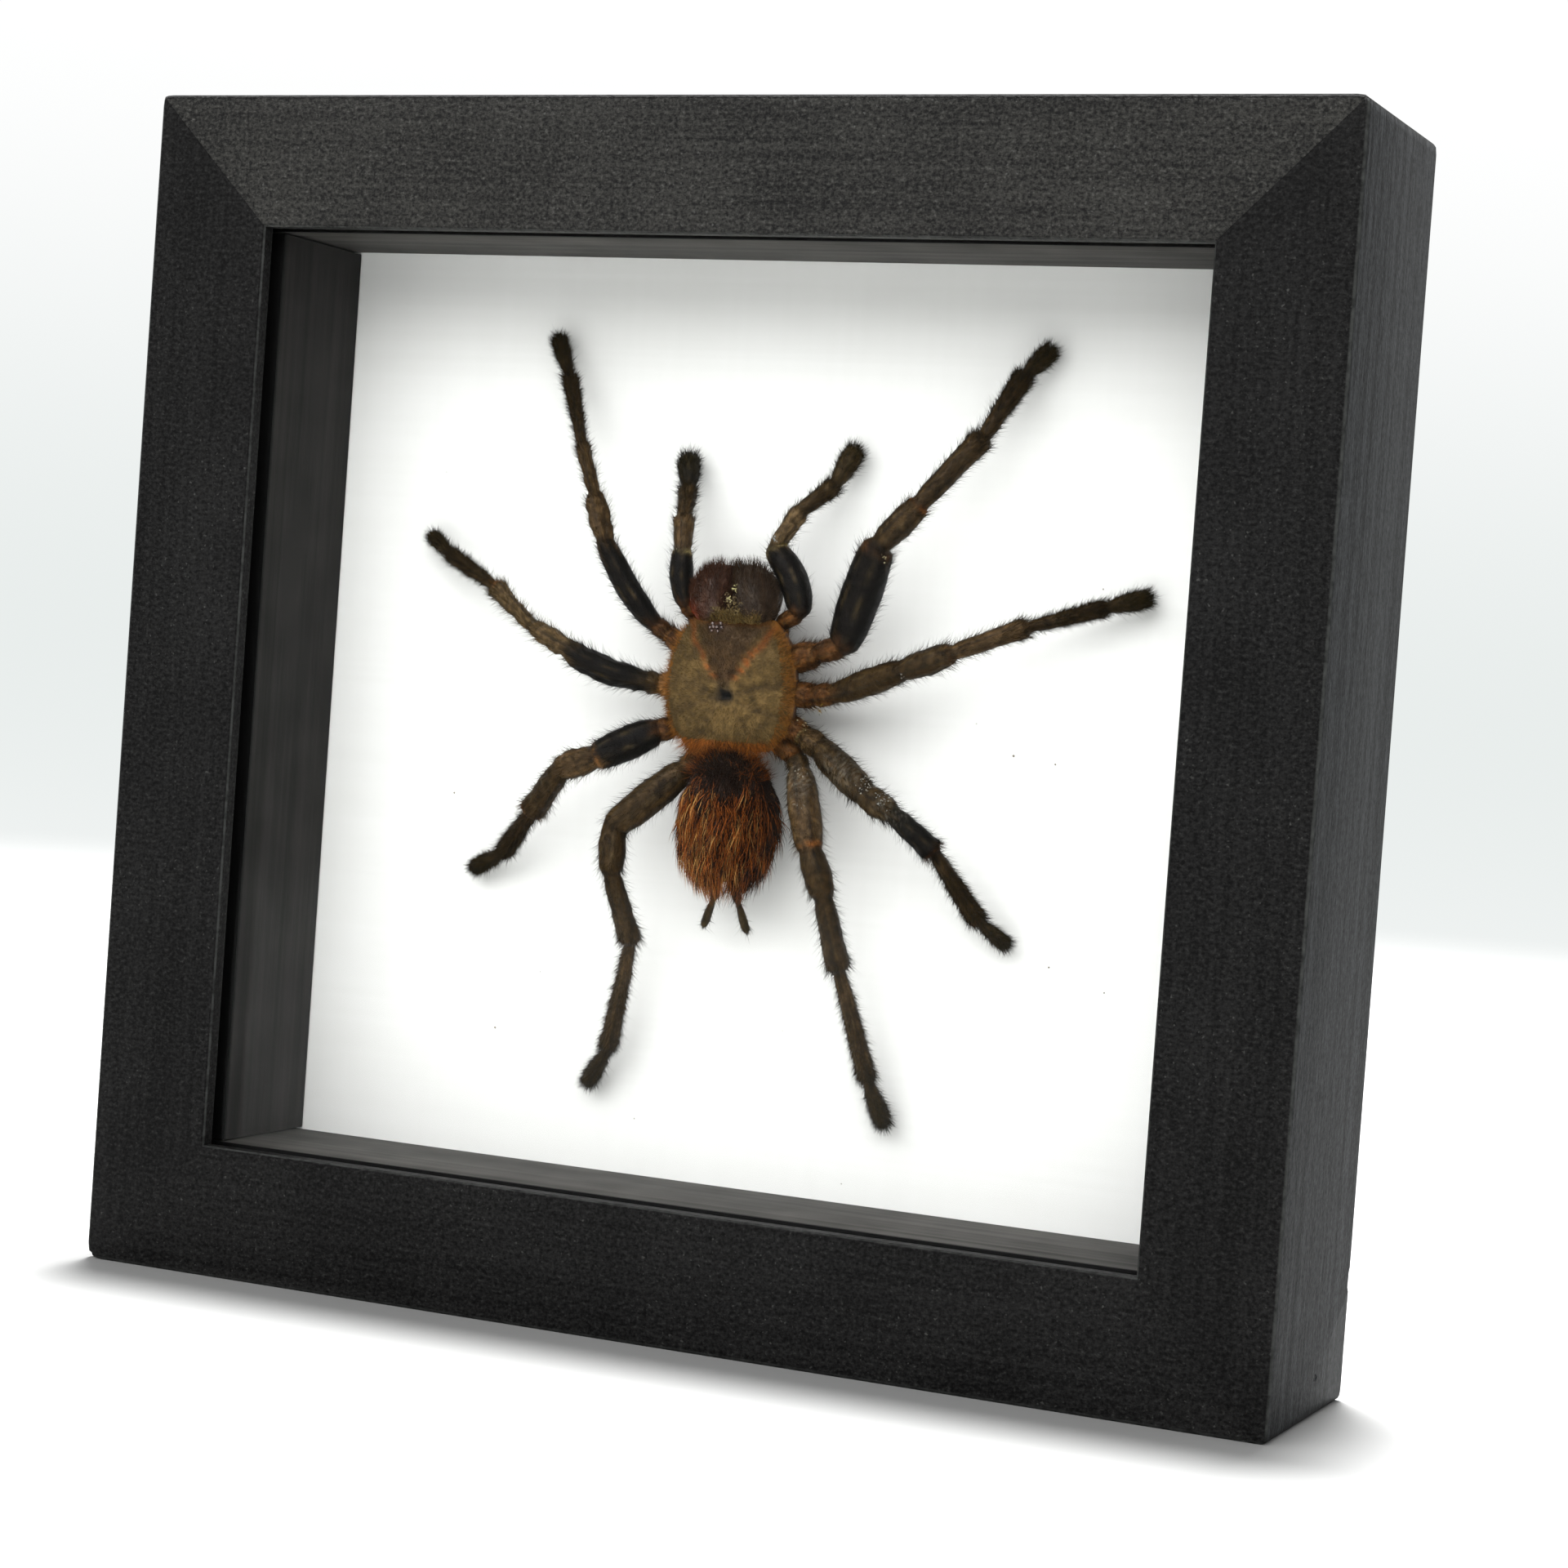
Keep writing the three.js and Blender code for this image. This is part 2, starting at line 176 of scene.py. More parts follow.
def stained_wood(name, grain, crinkle):
    """Black stain over grain that runs along the given axis, 0 for X and 2 for Z."""
    paint = Paint(name, Specular_IOR_Level=0.05 + 0.07 * crinkle)
    place = paint.place
    across = [700, 700, 700]
    across[grain] = 12
    streaks = place.stretched(*across).noise(1.0, 4.0, 0.65)
    broad = place.noise(60, 3.0)
    peel = place.noise(900, 2.0, 0.6)
    speckle = place.noise(1900, 2.0, 0.7)
    ridges = place.stretched(900, 900, 1700).noise(1.0, 3.0, 0.6)
    mixed = (speckle * 0.4 + ridges * 0.35 + streaks * 0.15 + broad * 0.1).between(0.4, 0.62)
    # A higher crinkle pales the thin-stain tone: painted light for the lighter look of the crinkled
    # top rail.
    thin, thick = 0.0056 + 0.025 * crinkle, 0.0004 + 0.0012 * crinkle
    body = mixed.tint([thick] * 3, [thin, thin * (1 - 0.02 * crinkle), thin * (1 - 0.12 * crinkle)])
    flecks = place.noise(1500, 1.0).between(0.64, 0.78) * broad.between(0.35, 0.65)
    # Painted glints: pale dots on the ridges stand for highlights, strongest on the crinkled top
    # rail.
    glints = (ridges * 0.6 + speckle * 0.4).between(0.56, 0.7) * (0.5 * crinkle)
    flecks_and_glints = (flecks * (0.3 + 0.4 * crinkle) + glints).tint(body, (0.08, 0.08, 0.076))
    side_coat = side_marks(place).tint((0.0025, 0.0027, 0.003), (0.034, 0.036, 0.038))
    outer = place.axis("X").maths("ABSOLUTE").between(HALF_WIDTH - 0.3 * MM, HALF_WIDTH)
    # Pale arrises: partly rubbed stain, partly a painted highlight along the inner lip edge.
    rubbed_and_highlit = worn_arris_and_highlight(place) * (0.25 + 0.6 * place.noise(500, 3.0).between(0.3, 0.7))
    worn_and_highlit = rubbed_and_highlit.tint(outer.tint(flecks_and_glints, side_coat), (0.042, 0.044, 0.042))
    # Painted shade: the top face is darkened almost to black, so the overhead lamp leaves no bright
    # line along it.
    top = place.axis("Z").between(HEIGHT - 0.8 * MM, HEIGHT - 0.4 * MM)
    darker_tone = (ridges * 0.6 + speckle * 0.4).between(0.42, 0.6).tint([0.0004] * 3, [0.006] * 3)
    relief = speckle * (0.3 + 0.5 * crinkle) + peel * (0.3 + 0.4 * crinkle) + ridges * crinkle
    return paint.finish(
        Base_Color=top.tint(worn_and_highlit, darker_tone),
        Roughness=0.45 + 0.22 * peel + top * 0.3,
        Normal=relief.bump(0.12 + 0.3 * crinkle, 0.8),
    )


def side_marks(place):
    """Streaks of the saw and short scuffs on the sides of the frame."""
    long_marks = place.stretched(420, 420, 6).noise(1.0, 4.0, 0.7)
    scuffs = place.stretched(1900, 1900, 200).noise(1.0, 3.0, 0.7)
    dust = place.noise(1300, 2.0, 0.7)
    return (long_marks * 0.35 + scuffs * 0.4 + dust * 0.25).between(0.41, 0.62)


def worn_arris_and_highlight(place):
    """1 along the outer front and back edges of the frame and along its inner front edge."""
    from_side = HALF_WIDTH - place.axis("X").maths("ABSOLUTE")
    from_middle = (place.axis("Z") - HEIGHT / 2).maths("ABSOLUTE")
    from_end = HEIGHT / 2 - from_middle
    outside = from_side.maths("MINIMUM", from_end)
    inside = (outside - MOULDING_WIDTH).maths("ABSOLUTE")
    near_edge = outside.maths("MINIMUM", inside * 1.8)
    from_front = place.axis("Y") - FRONT_Y
    corner = near_edge.maths("MAXIMUM", from_front)
    return 1 - corner.between(0.25 * MM, 0.6 * MM)


def working_copy(node, name):
    """A piece to rework: the CAD node's loose triangles merged into one clean skin."""
    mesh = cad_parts[node].data.copy()
    mesh.materials.clear()
    piece = stand(name, mesh)
    pick(piece)
    bpy.ops.mesh.customdata_custom_splitnormals_clear()
    bpy.ops.object.mode_set(mode="EDIT")
    bpy.ops.mesh.select_all(action="SELECT")
    bpy.ops.mesh.remove_doubles(threshold=0.002 * MM)
    bpy.ops.mesh.dissolve_limited(angle_limit=math.radians(0.5))
    bpy.ops.object.mode_set(mode="OBJECT")
    return piece


def stand(name, mesh):
    """Puts a mesh in the scene as a piece."""
    piece = bpy.data.objects.new(name, mesh)
    bpy.context.scene.collection.objects.link(piece)
    return piece


def pick(piece):
    bpy.ops.object.select_all(action="DESELECT")
    piece.select_set(True)
    bpy.context.view_layer.objects.active = piece


def holds_corner(node, x, z):
    """Whether a moulding's box holds a point a little inside a corner of the frame."""
    low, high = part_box(node)
    inner_x, inner_z = x * 0.9, HEIGHT / 2 + (z - HEIGHT / 2) * 0.9
    return low[0] < inner_x < high[0] and low[2] < inner_z < high[2]


def off_mitre(x, z):
    """How far a point is from the mitre plane of the nearest corner, measured along X or Z."""
    return (HALF_WIDTH - abs(x)) - min(z, HEIGHT - z)


def close_mitres(piece, axis):
    """Brings the ends of a moulding together with its neighbours', as the glue does."""
    for vertex in piece.data.vertices:
        place = vertex.co
        gap = off_mitre(place.x, place.z)
        if abs(gap) < MITRE_REACH:
            towards = gap - GLUE_LINE if axis == 0 else -gap - GLUE_LINE
            middle = 0 if axis == 0 else HEIGHT / 2
            place[axis] += math.copysign(towards, place[axis] - middle)


def wear_corner(piece, axis, x, z, reach, wear):
    """Rubs down a corner of the frame: cuts the moulding near it and draws its tip inwards."""
    corner = Vector((x, 0, z))
    inwards = Vector((-math.copysign(1, x), 0, 1 if z == 0 else -1))
    pick(piece)
    bpy.ops.object.mode_set(mode="EDIT")
    for share in (1, 0.45):
        cut = corner.copy()
        cut[axis] += inwards[axis] * reach * share
        normal = [0, 0, 0]
        normal[axis] = 1
        bpy.ops.mesh.select_all(action="SELECT")
        bpy.ops.mesh.bisect(plane_co=cut, plane_no=normal)
    bpy.ops.object.mode_set(mode="OBJECT")
    for vertex in piece.data.vertices:
        place = vertex.co
        off_corner = abs(place[axis] - corner[axis])
        on_outside = abs(place[2 - axis] - corner[2 - axis]) < MITRE_REACH
        if off_corner < MITRE_REACH and on_outside:
            place += inwards * wear
        elif on_outside and off_corner < reach * 0.5:
            place[2 - axis] += inwards[2 - axis] * wear * 0.3


def apply_modifier(piece, kind, **settings):
    modifier = piece.modifiers.new(kind.lower(), kind)
    for key, value in settings.items():
        setattr(modifier, key, value)
    bpy.ops.object.modifier_apply(modifier=modifier.name)


def ease_edges(piece, width):
    """Rounds the sharp edges of a piece, apart from the ones that meet at a mitre."""
    pick(piece)
    bpy.ops.object.mode_set(mode="EDIT")
    bpy.ops.mesh.select_all(action="DESELECT")
    bpy.ops.mesh.select_mode(type="EDGE")
    bpy.ops.mesh.edges_select_sharp(sharpness=math.radians(30))
    bpy.ops.object.mode_set(mode="OBJECT")
    mesh = piece.data
    weights = mesh.attributes.new("bevel_weight_edge", "FLOAT", "EDGE")
    for edge in mesh.edges:
        ends = [mesh.vertices[v].co for v in edge.vertices]
        at_mitre = all(abs(off_mitre(end.x, end.z)) <= MITRE_REACH for end in ends)
        weights.data[edge.index].value = edge.select and not at_mitre
    apply_modifier(piece, "BEVEL", width=width, segments=2, limit_method="WEIGHT")
    mesh.attributes.remove(mesh.attributes["bevel_weight_edge"])
    bpy.ops.object.shade_smooth_by_angle(angle=math.radians(35))


def break_out(piece, centre_mm, size_mm):
    """Takes a rough chip out of a piece where a stone-shaped cutter overlaps it."""
    bpy.ops.object.select_all(action="DESELECT")
    bpy.ops.mesh.primitive_ico_sphere_add(
        subdivisions=2, radius=1, location=[c * MM for c in centre_mm]
    )
    cutter = bpy.context.object
    cutter.scale = [s * MM for s in size_mm]
    bpy.ops.object.transform_apply(location=True, scale=True)
    bpy.ops.object.mode_set(mode="EDIT")
    bpy.ops.mesh.select_all(action="SELECT")
    bpy.ops.transform.vertex_random(offset=0.2 * MM * max(size_mm), seed=3)
    bpy.ops.object.mode_set(mode="OBJECT")
    pick(piece)
    apply_modifier(piece, "BOOLEAN", object=cutter, operation="DIFFERENCE", solver="MANIFOLD")
    bpy.data.objects.remove(cutter)


def fit_piece(piece, material, slot, *nodes):
    """Gives a piece its material and its place on the frame. Its slot is not used."""
    piece.data.materials.clear()
    piece.data.materials.append(material)
    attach(piece, "root")
    if nodes:
        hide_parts(*nodes)


rail_stain = stained_wood("black stain, rails", grain=0, crinkle=0.25)
top_stain = stained_wood("black stain, crinkled", grain=0, crinkle=1.0)
stile_stain = stained_wood("black stain, stiles", grain=2, crinkle=0.2)
MOULDINGS = {
    "rail_bottom": rail_stain,
    "rail_top": top_stain,
    "stile_left": stile_stain,
    "stile_right": stile_stain,
}
# Rubbed corners: x, z, how far along the moulding they reach and how deep they go.
WORN_CORNERS = [
    (-HALF_WIDTH, 0, 2.6 * MM, 0.8 * MM), (HALF_WIDTH, 0, 1.8 * MM, 0.35 * MM),
    (-HALF_WIDTH, HEIGHT, 1.8 * MM, 0.25 * MM), (HALF_WIDTH, HEIGHT, 2 * MM, 0.45 * MM),
]
# Chips: the middle and the half sizes of what broke out, in mm.
CHIPS = {
    "rail_bottom": [([96.6, -20.2, -0.2], [1, 0.7, 0.9])],
    "stile_right": [
        ([100.3, 20.2, 18.5], [0.9, 1.2, 2.4]),
        ([79, -20.2, 61.6], [0.5, 0.6, 0.9]),
        ([100.2, 4, 6], [0.35, 1.4, 0.8]),
    ],
}
for node, stain in MOULDINGS.items():
    moulding = working_copy(node, node + "_wood")
    axis = 0 if node.startswith("rail") else 2
    close_mitres(moulding, axis)
    for x, z, reach, wear in WORN_CORNERS:
        if holds_corner(node, x, z):
            wear_corner(moulding, axis, x, z, reach, wear)
    ease_edges(moulding, EDGE_ROUNDING)
    for centre, size in CHIPS.get(node, []):
        break_out(moulding, centre, size)
    fit_piece(moulding, stain, "stained_wood", node)


# ---- Glass ----
# A pane of 3 mm float glass that lies against the lip of the mouldings.
# It lets light straight through and mirrors a little, with the faint bloom of old dust.


def pane_glass():
    paint = Paint("pane glass")
    tree = paint.material.node_tree
    place = paint.place
    bloom = place.noise(35, 4.0).between(0.45, 0.8)
    fresnel = place.node("Fresnel", {}, {"IOR": 1.45})
    clear = place.node("BsdfTransparent", {}, {"Color": (0.99, 0.993, 0.99, 1)})
    mirror = place.node("BsdfGlossy", {}, {"Color": (1, 1, 1, 1), "Roughness": 0.04})
    mixed = place.node(
        "MixShader", {}, {"Fac": fresnel * 0.12 + bloom * 0.001, 1: clear, 2: mirror}
    )
    tree.links.new(mixed.socket, tree.nodes["Material Output"].inputs["Surface"])
    tree.nodes.remove(paint.shader)
    return paint.material


def refinish(node, material):
    """A CAD node whose shape is right keeps it and takes a better material."""
    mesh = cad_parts[node].data
    mesh.materials.clear()
    mesh.materials.append(material)


refinish("glass_pane", pane_glass())


# ---- Spacer strips ----
# Four planed strips that keep the card off the glass. Their stain is thinner and greyer.
# Their front ends are painted black as shade.


STRIP_FRONT_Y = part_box("spacer_top")[0][1]


def strip_stain_and_shadow_line(name, grain, pale):
    """Thin stain, with the front end painted black as shade behind the lip, which shows as a line
    round the glass.
    """
    paint = Paint(name, Specular_IOR_Level=0.12)
    across = [420, 420, 420]
    across[grain] = 8
    streaks = paint.place.stretched(*across).noise(1.0, 5.0, 0.7)
    patches = paint.place.noise(90, 3.0)
    dark = [0.011 * pale, 0.0104 * pale, 0.0094 * pale]
    light = [0.052 * pale, 0.049 * pale, 0.046 * pale]
    mottled = (streaks * 0.7 + patches * 0.3).between(0.28, 0.74)
    # Painted shadow: the front end of each strip is painted black where the lip shades it.
    painted_shadow_line = (paint.place.axis("Y") - STRIP_FRONT_Y).between(0.25 * MM, 0.6 * MM)
    return paint.finish(
        Base_Color=painted_shadow_line.tint((0.0006, 0.0006, 0.0006), mottled.tint(dark, light)),
        Roughness=0.6 + 0.25 * streaks,
        Normal=streaks.bump(0.15, 0.6),
    )


long_strip = strip_stain_and_shadow_line("thin stain, long strips", grain=0, pale=1.9)
short_strip = strip_stain_and_shadow_line("thin stain, short strips", grain=2, pale=0.55)
for side, stain in (
    ("bottom", long_strip), ("top", long_strip), ("left", short_strip), ("right", short_strip)
):
    node = "spacer_" + side
    strip = working_copy(node, node + "_wood")
    ease_edges(strip, 0.2 * MM)
    fit_piece(strip, stain, "spacer_wood", node)


# ---- Mount card ----
# A white laid card the spider is glued to. Fine ribs run across it and grit has settled on it.

CARD_Y = 10.5 * MM


def laid_card():
    paint = Paint("laid card", Specular_IOR_Level=0.2)
    ribs = paint.place.stretched(6, 1, 900).noise(1.0, 2.0)
    threads = paint.place.stretched(700, 1, 8).noise(1.0, 2.0)
    cloud = paint.place.noise(25, 3.0)
    weave = ribs * 0.6 + threads * 0.4
    tone = (weave * 0.5 + cloud * 0.5).between(0.3, 0.7)
    return paint.finish(
        Base_Color=tone.tint((0.86, 0.86, 0.845), (0.91, 0.91, 0.9)),
        Roughness=0.75 + 0.2 * weave,
        Normal=weave.bump(0.05, 0.5),
    )


refinish("mount_card", laid_card())

# Specks of grit on the card: x, z and size in mm.
SPECKS = [
    [43.5, 93.5, 0.6], [50.4, 92.7, 0.45], [51.8, 61.5, 0.5], [37, 98, 0.3],
    [-43.6, 42, 0.55], [-47, 71, 0.5], [-54.3, 80, 0.5], [61, 58.5, 0.4], [56, 120, 0.35],
    [-36, 52, 0.3], [-17, 30, 0.35], [8, 47, 0.3], [-60, 133, 0.3], [20, 24, 0.3],
]


def grit():
    paint = Paint("grit", Roughness=0.8)
    speckle = paint.place.noise(900)
    return paint.finish(Base_Color=speckle.tint((0.12, 0.1, 0.08), (0.42, 0.38, 0.32)))


def join_as(name, pieces):
    """Makes several pieces one, with its place in its mesh."""
    pick(pieces[0])
    for piece in pieces:
        piece.select_set(True)
    bpy.ops.object.join()
    bpy.ops.object.transform_apply()
    pieces[0].name = name
    return pieces[0]


bpy.ops.object.select_all(action="DESELECT")
specks = []
for x, z, size in SPECKS:
    bpy.ops.mesh.primitive_ico_sphere_add(
        subdivisions=1, radius=size / 3 * MM, location=(x * MM, CARD_Y - size * 0.2 * MM, z * MM)
    )
    specks.append(bpy.context.object)
fit_piece(join_as("card_grit", specks), grit(), "white_card")


# ---- Backing board, spring points and hanger ----
# Hardboard closes the back. Flat steel points driven into the rebate hold it, and a pressed
# saw-toothed plate is nailed to the top rail.


def hardboard():
    paint = Paint("hardboard", Specular_IOR_Level=0.3)
    fibres = paint.place.noise(600, 4.0, 0.7)
    patches = paint.place.noise(40, 3.0)
    tone = (fibres * 0.75 + patches * 0.25).between(0.3, 0.7)
    return paint.finish(
        Base_Color=tone.tint((0.12, 0.065, 0.03), (0.24, 0.15, 0.08)),
        Roughness=0.65 + 0.2 * fibres,
        Normal=fibres.bump(0.15, 0.5),
    )


def plated_steel():
    paint = Paint("plated steel", Metallic=0.9)
    marks = paint.place.stretched(900, 900, 200).noise(1.0, 3.0)
    tarnish = paint.place.noise(250, 3.0).between(0.5, 0.75)
    return paint.finish(
        Base_Color=(tarnish * 0.6).tint((0.5, 0.5, 0.52), (0.24, 0.22, 0.2)),
        Roughness=0.3 + 0.25 * marks,
        Normal=marks.bump(0.02, 0.5),
    )


refinish("backing_board", hardboard())
steel = plated_steel()
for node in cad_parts:
    if node.startswith(("point_", "hanger_nail")):
        refinish(node, steel)
hanger = working_copy("hanger_plate", "hanger_plate_pressed")
ease_edges(hanger, 0.15 * MM)
fit_piece(hanger, steel, "steel", "hanger_plate")


# ---- Prosoma ----
# The carapace, head and underside of the dried spider: one stiff shell with a pit in the
# middle, grooves that run out from it, a raised head and a velvet of short golden hair.


# How much of its looks a surface owes to the light it stands in.
DAYLIGHT = 0.55


def ink(red, green, blue):
    """A colour given as it looks in the studio's light, 0 to 255, as the shader wants it."""
    return np.array([(c / 255) ** 2.2 * DAYLIGHT for c in (red, green, blue)])


def over_card(x, z, height):
    """Arrays or numbers in mm, heights measured up from the card, as points in metres."""
    return np.stack([x * MM, CARD_Y - height * MM, z * MM], axis=-1)


def coloured_piece(name, points, faces, shades):
    """A piece from an array of points in metres, with a colour for each point."""
    mesh = bpy.data.meshes.new(name)
    mesh.from_pydata(points.tolist(), [], faces)
    values = np.ones((len(points), 4), np.float32)
    values[:, :3] = np.clip(shades, 0, 1)
    layer = mesh.attributes.new("shade", "FLOAT_COLOR", "POINT")
    layer.data.foreach_set("color", values.ravel())
    return stand(name, mesh)


def turn_outwards(piece):
    pick(piece)
    bpy.ops.object.mode_set(mode="EDIT")
    bpy.ops.mesh.select_all(action="SELECT")
    bpy.ops.mesh.normals_make_consistent(inside=False)
    bpy.ops.object.mode_set(mode="OBJECT")


def skin_of_rings(name, rings, colours):
    """A closed piece lofted through rings of points, with a pole at each end."""
    count, sides = rings.shape[:2]
    points = np.concatenate([rings.reshape(-1, 3), rings[0].mean(0)[None], rings[-1].mean(0)[None]])
    shades = np.concatenate([colours.reshape(-1, 3), colours[:1, 0], colours[-1:, 0]])
    first, last = count * sides, count * sides + 1
    faces = []
    for ring in range(count - 1):
        low, high = ring * sides, (ring + 1) * sides
        for k in range(sides):
            turn = (k + 1) % sides
            faces.append((low + k, low + turn, high + turn, high + k))
    for k in range(sides):
        turn = (k + 1) % sides
        faces.append((first, turn, k))
        faces.append((last, (count - 1) * sides + k, (count - 1) * sides + turn))
    piece = coloured_piece(name, points, faces, shades)
    turn_outwards(piece)
    bpy.ops.object.shade_smooth()
    return piece


def grid(places, sides, start=0.0):
    """Places along a body and turns round it, as two arrays of one shape."""
    turns = np.linspace(start, start + 2 * math.pi, sides, endpoint=False)
    return np.meshgrid(places, turns, indexing="ij")


def unit(vectors):
    return vectors / np.maximum(np.linalg.norm(vectors, axis=-1, keepdims=True), 1e-12)


def spikes(name, roots, ways, sags, lengths, widths, shades, steps=1):
    """One mesh of tapering three-sided hairs, each straight at its root and sagging after it."""
    side = unit(np.cross(ways, [0.31, 0.52, 0.79]))
    lift = np.cross(ways, side)
    levels = []
    for step in range(steps):
        share = step / steps
        centre = roots + (ways * share + sags * share * share) * lengths[:, None]
        radius = (widths / 2 * (1 - 0.75 * share))[:, None]
        for corner in range(3):
            turn = 2 * math.pi * corner / 3
            levels.append(centre + (side * math.cos(turn) + lift * math.sin(turn)) * radius)
    levels.append(roots + (ways + sags) * lengths[:, None])
    per_hair = len(levels)
    points = np.stack(levels, axis=1).reshape(-1, 3)
    pattern = [(0, 2, 1)]
    for step in range(steps - 1):
        for corner in range(3):
            a, b = step * 3 + corner, step * 3 + (corner + 1) % 3
            pattern += [(a, b, b + 3), (a, b + 3, a + 3)]
    rim = (steps - 1) * 3
    pattern += [(rim + corner, rim + (corner + 1) % 3, per_hair - 1) for corner in range(3)]
    starts = (np.arange(len(roots)) * per_hair)[:, None, None]
    faces = (np.array(pattern)[None] + starts).reshape(-1, 3)
    return coloured_piece(name, points, faces.tolist(), np.repeat(shades, per_hair, axis=0))


def dried_shell(name, roughness, coat, mottle_mm, relief_mm, gloss=0.2):
    """Dry cuticle in the colours of its points, mottled and wrinkled."""
    paint = Paint(name, Specular_IOR_Level=gloss, Coat_Roughness=0.3)
    mottle = paint.place.noise(1000 / mottle_mm, 4.0, 0.6)
    wrinkle = paint.place.noise(2600, 3.0, 0.6)
    shade = paint.point_colours()
    return paint.finish(
        Base_Color=mottle.between(0.3, 0.7).tint(
            shade.times(0.5, 0.48, 0.46), shade.times(1.5, 1.45, 1.35)
        ),
        Roughness=roughness + 0.3 * wrinkle,
        Coat_Weight=mottle.between(0.45, 0.7) * coat,
        Normal=(wrinkle + mottle * 1.5).bump(relief_mm, 0.8),
    )


def hair_finish(name, roughness, gloss=0.12):
    """Hair in its own colours, streaked a little along its length."""
    paint = Paint(name, Specular_IOR_Level=gloss)
    streak = paint.place.noise(1800, 2.0)
    shade = paint.point_colours()
    return paint.finish(
        Base_Color=streak.tint(shade.times(0.7, 0.68, 0.66), shade),
        Roughness=roughness + 0.2 * streak,
    )


# The outline in mm: half widths and heights of the top at places along the body, the height
# of the rim and of the underside, the pit and the angles of the grooves from straight ahead.
PROSOMA_X = -0.4
PROSOMA_Z = [91.2, 92, 94, 97, 101, 105, 108.5, 110.8, 111.8]
PROSOMA_HALF_WIDTH = [6.6, 8, 9.7, 10.7, 11, 10.5, 9.2, 7.7, 6.6]
PROSOMA_TOP = [11.2, 12.4, 13.7, 14.6, 15.0, 14.9, 14.5, 13.6, 12.4]
PROSOMA_RIM = 9.8
PROSOMA_UNDER = 4.0
FOVEA = (0.2, 99.4)
GROOVE_ANGLES = [34, 74, 108, 142]


def bell(value, width):
    """1 at 0, falling off within a width to either side."""
    return np.exp(-((value / width) ** 2))


def ramp(value, zero_at, one_at):
    """A straight slope from 0 to 1, level beyond its ends."""
    return np.clip((value - zero_at) / (one_at - zero_at), 0, 1)


def tinted(colours, share, tone):
    """Colours drawn towards a tone by a share of 0 to 1."""
    return colours + share[..., None] * (tone - colours)


def half_width(z):
    return np.interp(z, PROSOMA_Z, PROSOMA_HALF_WIDTH)


def dome_height(z):
    return np.interp(z, PROSOMA_Z, PROSOMA_TOP) - PROSOMA_RIM


def around_fovea(x, z):
    """Distance from the pit and angle away from straight ahead, in degrees, for either side."""
    dx, dz = x - FOVEA[0], z - FOVEA[1]
    return np.hypot(dx, dz), np.degrees(np.abs(np.arctan2(dx, dz)))


def carapace_relief(x, z):
    """How far the top of the carapace rises above its plain dome, in mm."""
    reach, angle = around_fovea(x, z)
    relief = -2.2 * bell(np.hypot((x - FOVEA[0]) / 1.5, z - FOVEA[1]), 0.8)
    for groove in GROOVE_ANGLES:
        depth = 0.5 if groove == GROOVE_ANGLES[0] else 0.32
        furrow = depth * bell(angle - groove, 5 + 12 / (reach + 1))
        relief = relief - furrow * ramp(reach, 1, 3) * ramp(reach, 10.5, 7.5)
    head = ramp(z, 101, 106) * bell(x - PROSOMA_X, 5.2)
    eye_mound = 0.9 * bell(x + 1.6, 1.5) * bell(z - 110.1, 1.1)
    return relief + 0.7 * head + eye_mound


def carapace_colours(x, z, top):
    """Olive velvet with a dark wedge ahead of the pit, rusty lines beside it and a pale rim."""
    reach, angle = around_fovea(x, z)
    beside_pit, ahead_of_pit = x - FOVEA[0], z - FOVEA[1]
    wear = np.sin(1.7 * x + 2 * np.sin(0.9 * z)) * np.sin(1.3 * z + 1.5 * np.sin(1.1 * x))
    rusty_line = bell(angle - 33 - 1.3 * np.sin(reach * 1.4), 1.7 + 12 / (reach + 2))
    wedge = bell(beside_pit, 0.5 + 0.12 * reach) * ramp(reach, 5, 0) * (ahead_of_pit > 0)
    # The pit is painted near black: partly its own dark colour, partly painted shade in the hollow.
    pit = np.clip(1.75 - np.hypot(beside_pit / 1.4, ahead_of_pit - 0.2), 0, 1)
    uneven = 0.02 * np.sin(z * 2.1) + 0.02 * np.sin(z * 5.3 + x)
    side_share = np.abs(x - PROSOMA_X) / half_width(z) + uneven
    layers = [
        (0.9 * ramp(angle, 30, 24) * ramp(reach, 0.8, 2.8), (76, 53, 28)),
        (0.85 * rusty_line * ramp(reach, 2, 4), (178, 98, 38)),
        (0.35 * ramp(z, 103, 110), (66, 52, 28)),
    ]
    for groove in GROOVE_ANGLES[1:]:
        layers.append((0.45 * bell(angle - groove, 5) * ramp(reach, 1, 3), (58, 43, 24)))
    layers += [
        # Painted shade: darker towards the left slope of the dome.
        (0.3 * ramp(x, 0, -6), (84, 68, 36)),
        (0.6 * bell(z - 111, 0.5), (150, 98, 46)),
        (0.85 * wedge, (24, 16, 11)),
        (pit, (8, 6, 4)),
        (0.8 * ramp(side_share, 0.915, 1.015), (172, 112, 44)),
        (0.7 * ramp(z - 0.5 * np.sin(x * 1.3), 92.8, 91), (160, 100, 42)),
        (bell(x + 1.6, 1.6) * bell(z - 110.2, 1.2), (46, 26, 20)),
        (0.35 * bell(reach - 4.5, 2) * ramp(angle, 150, 170), (140, 114, 68)),
    ]
    colours = ink(120, 97, 56) * (1 + 0.12 * wear[..., None])
    for share, tone in layers:
        colours = tinted(colours, share, ink(*tone))
    colours[~top] = ink(74, 48, 30)
    return colours


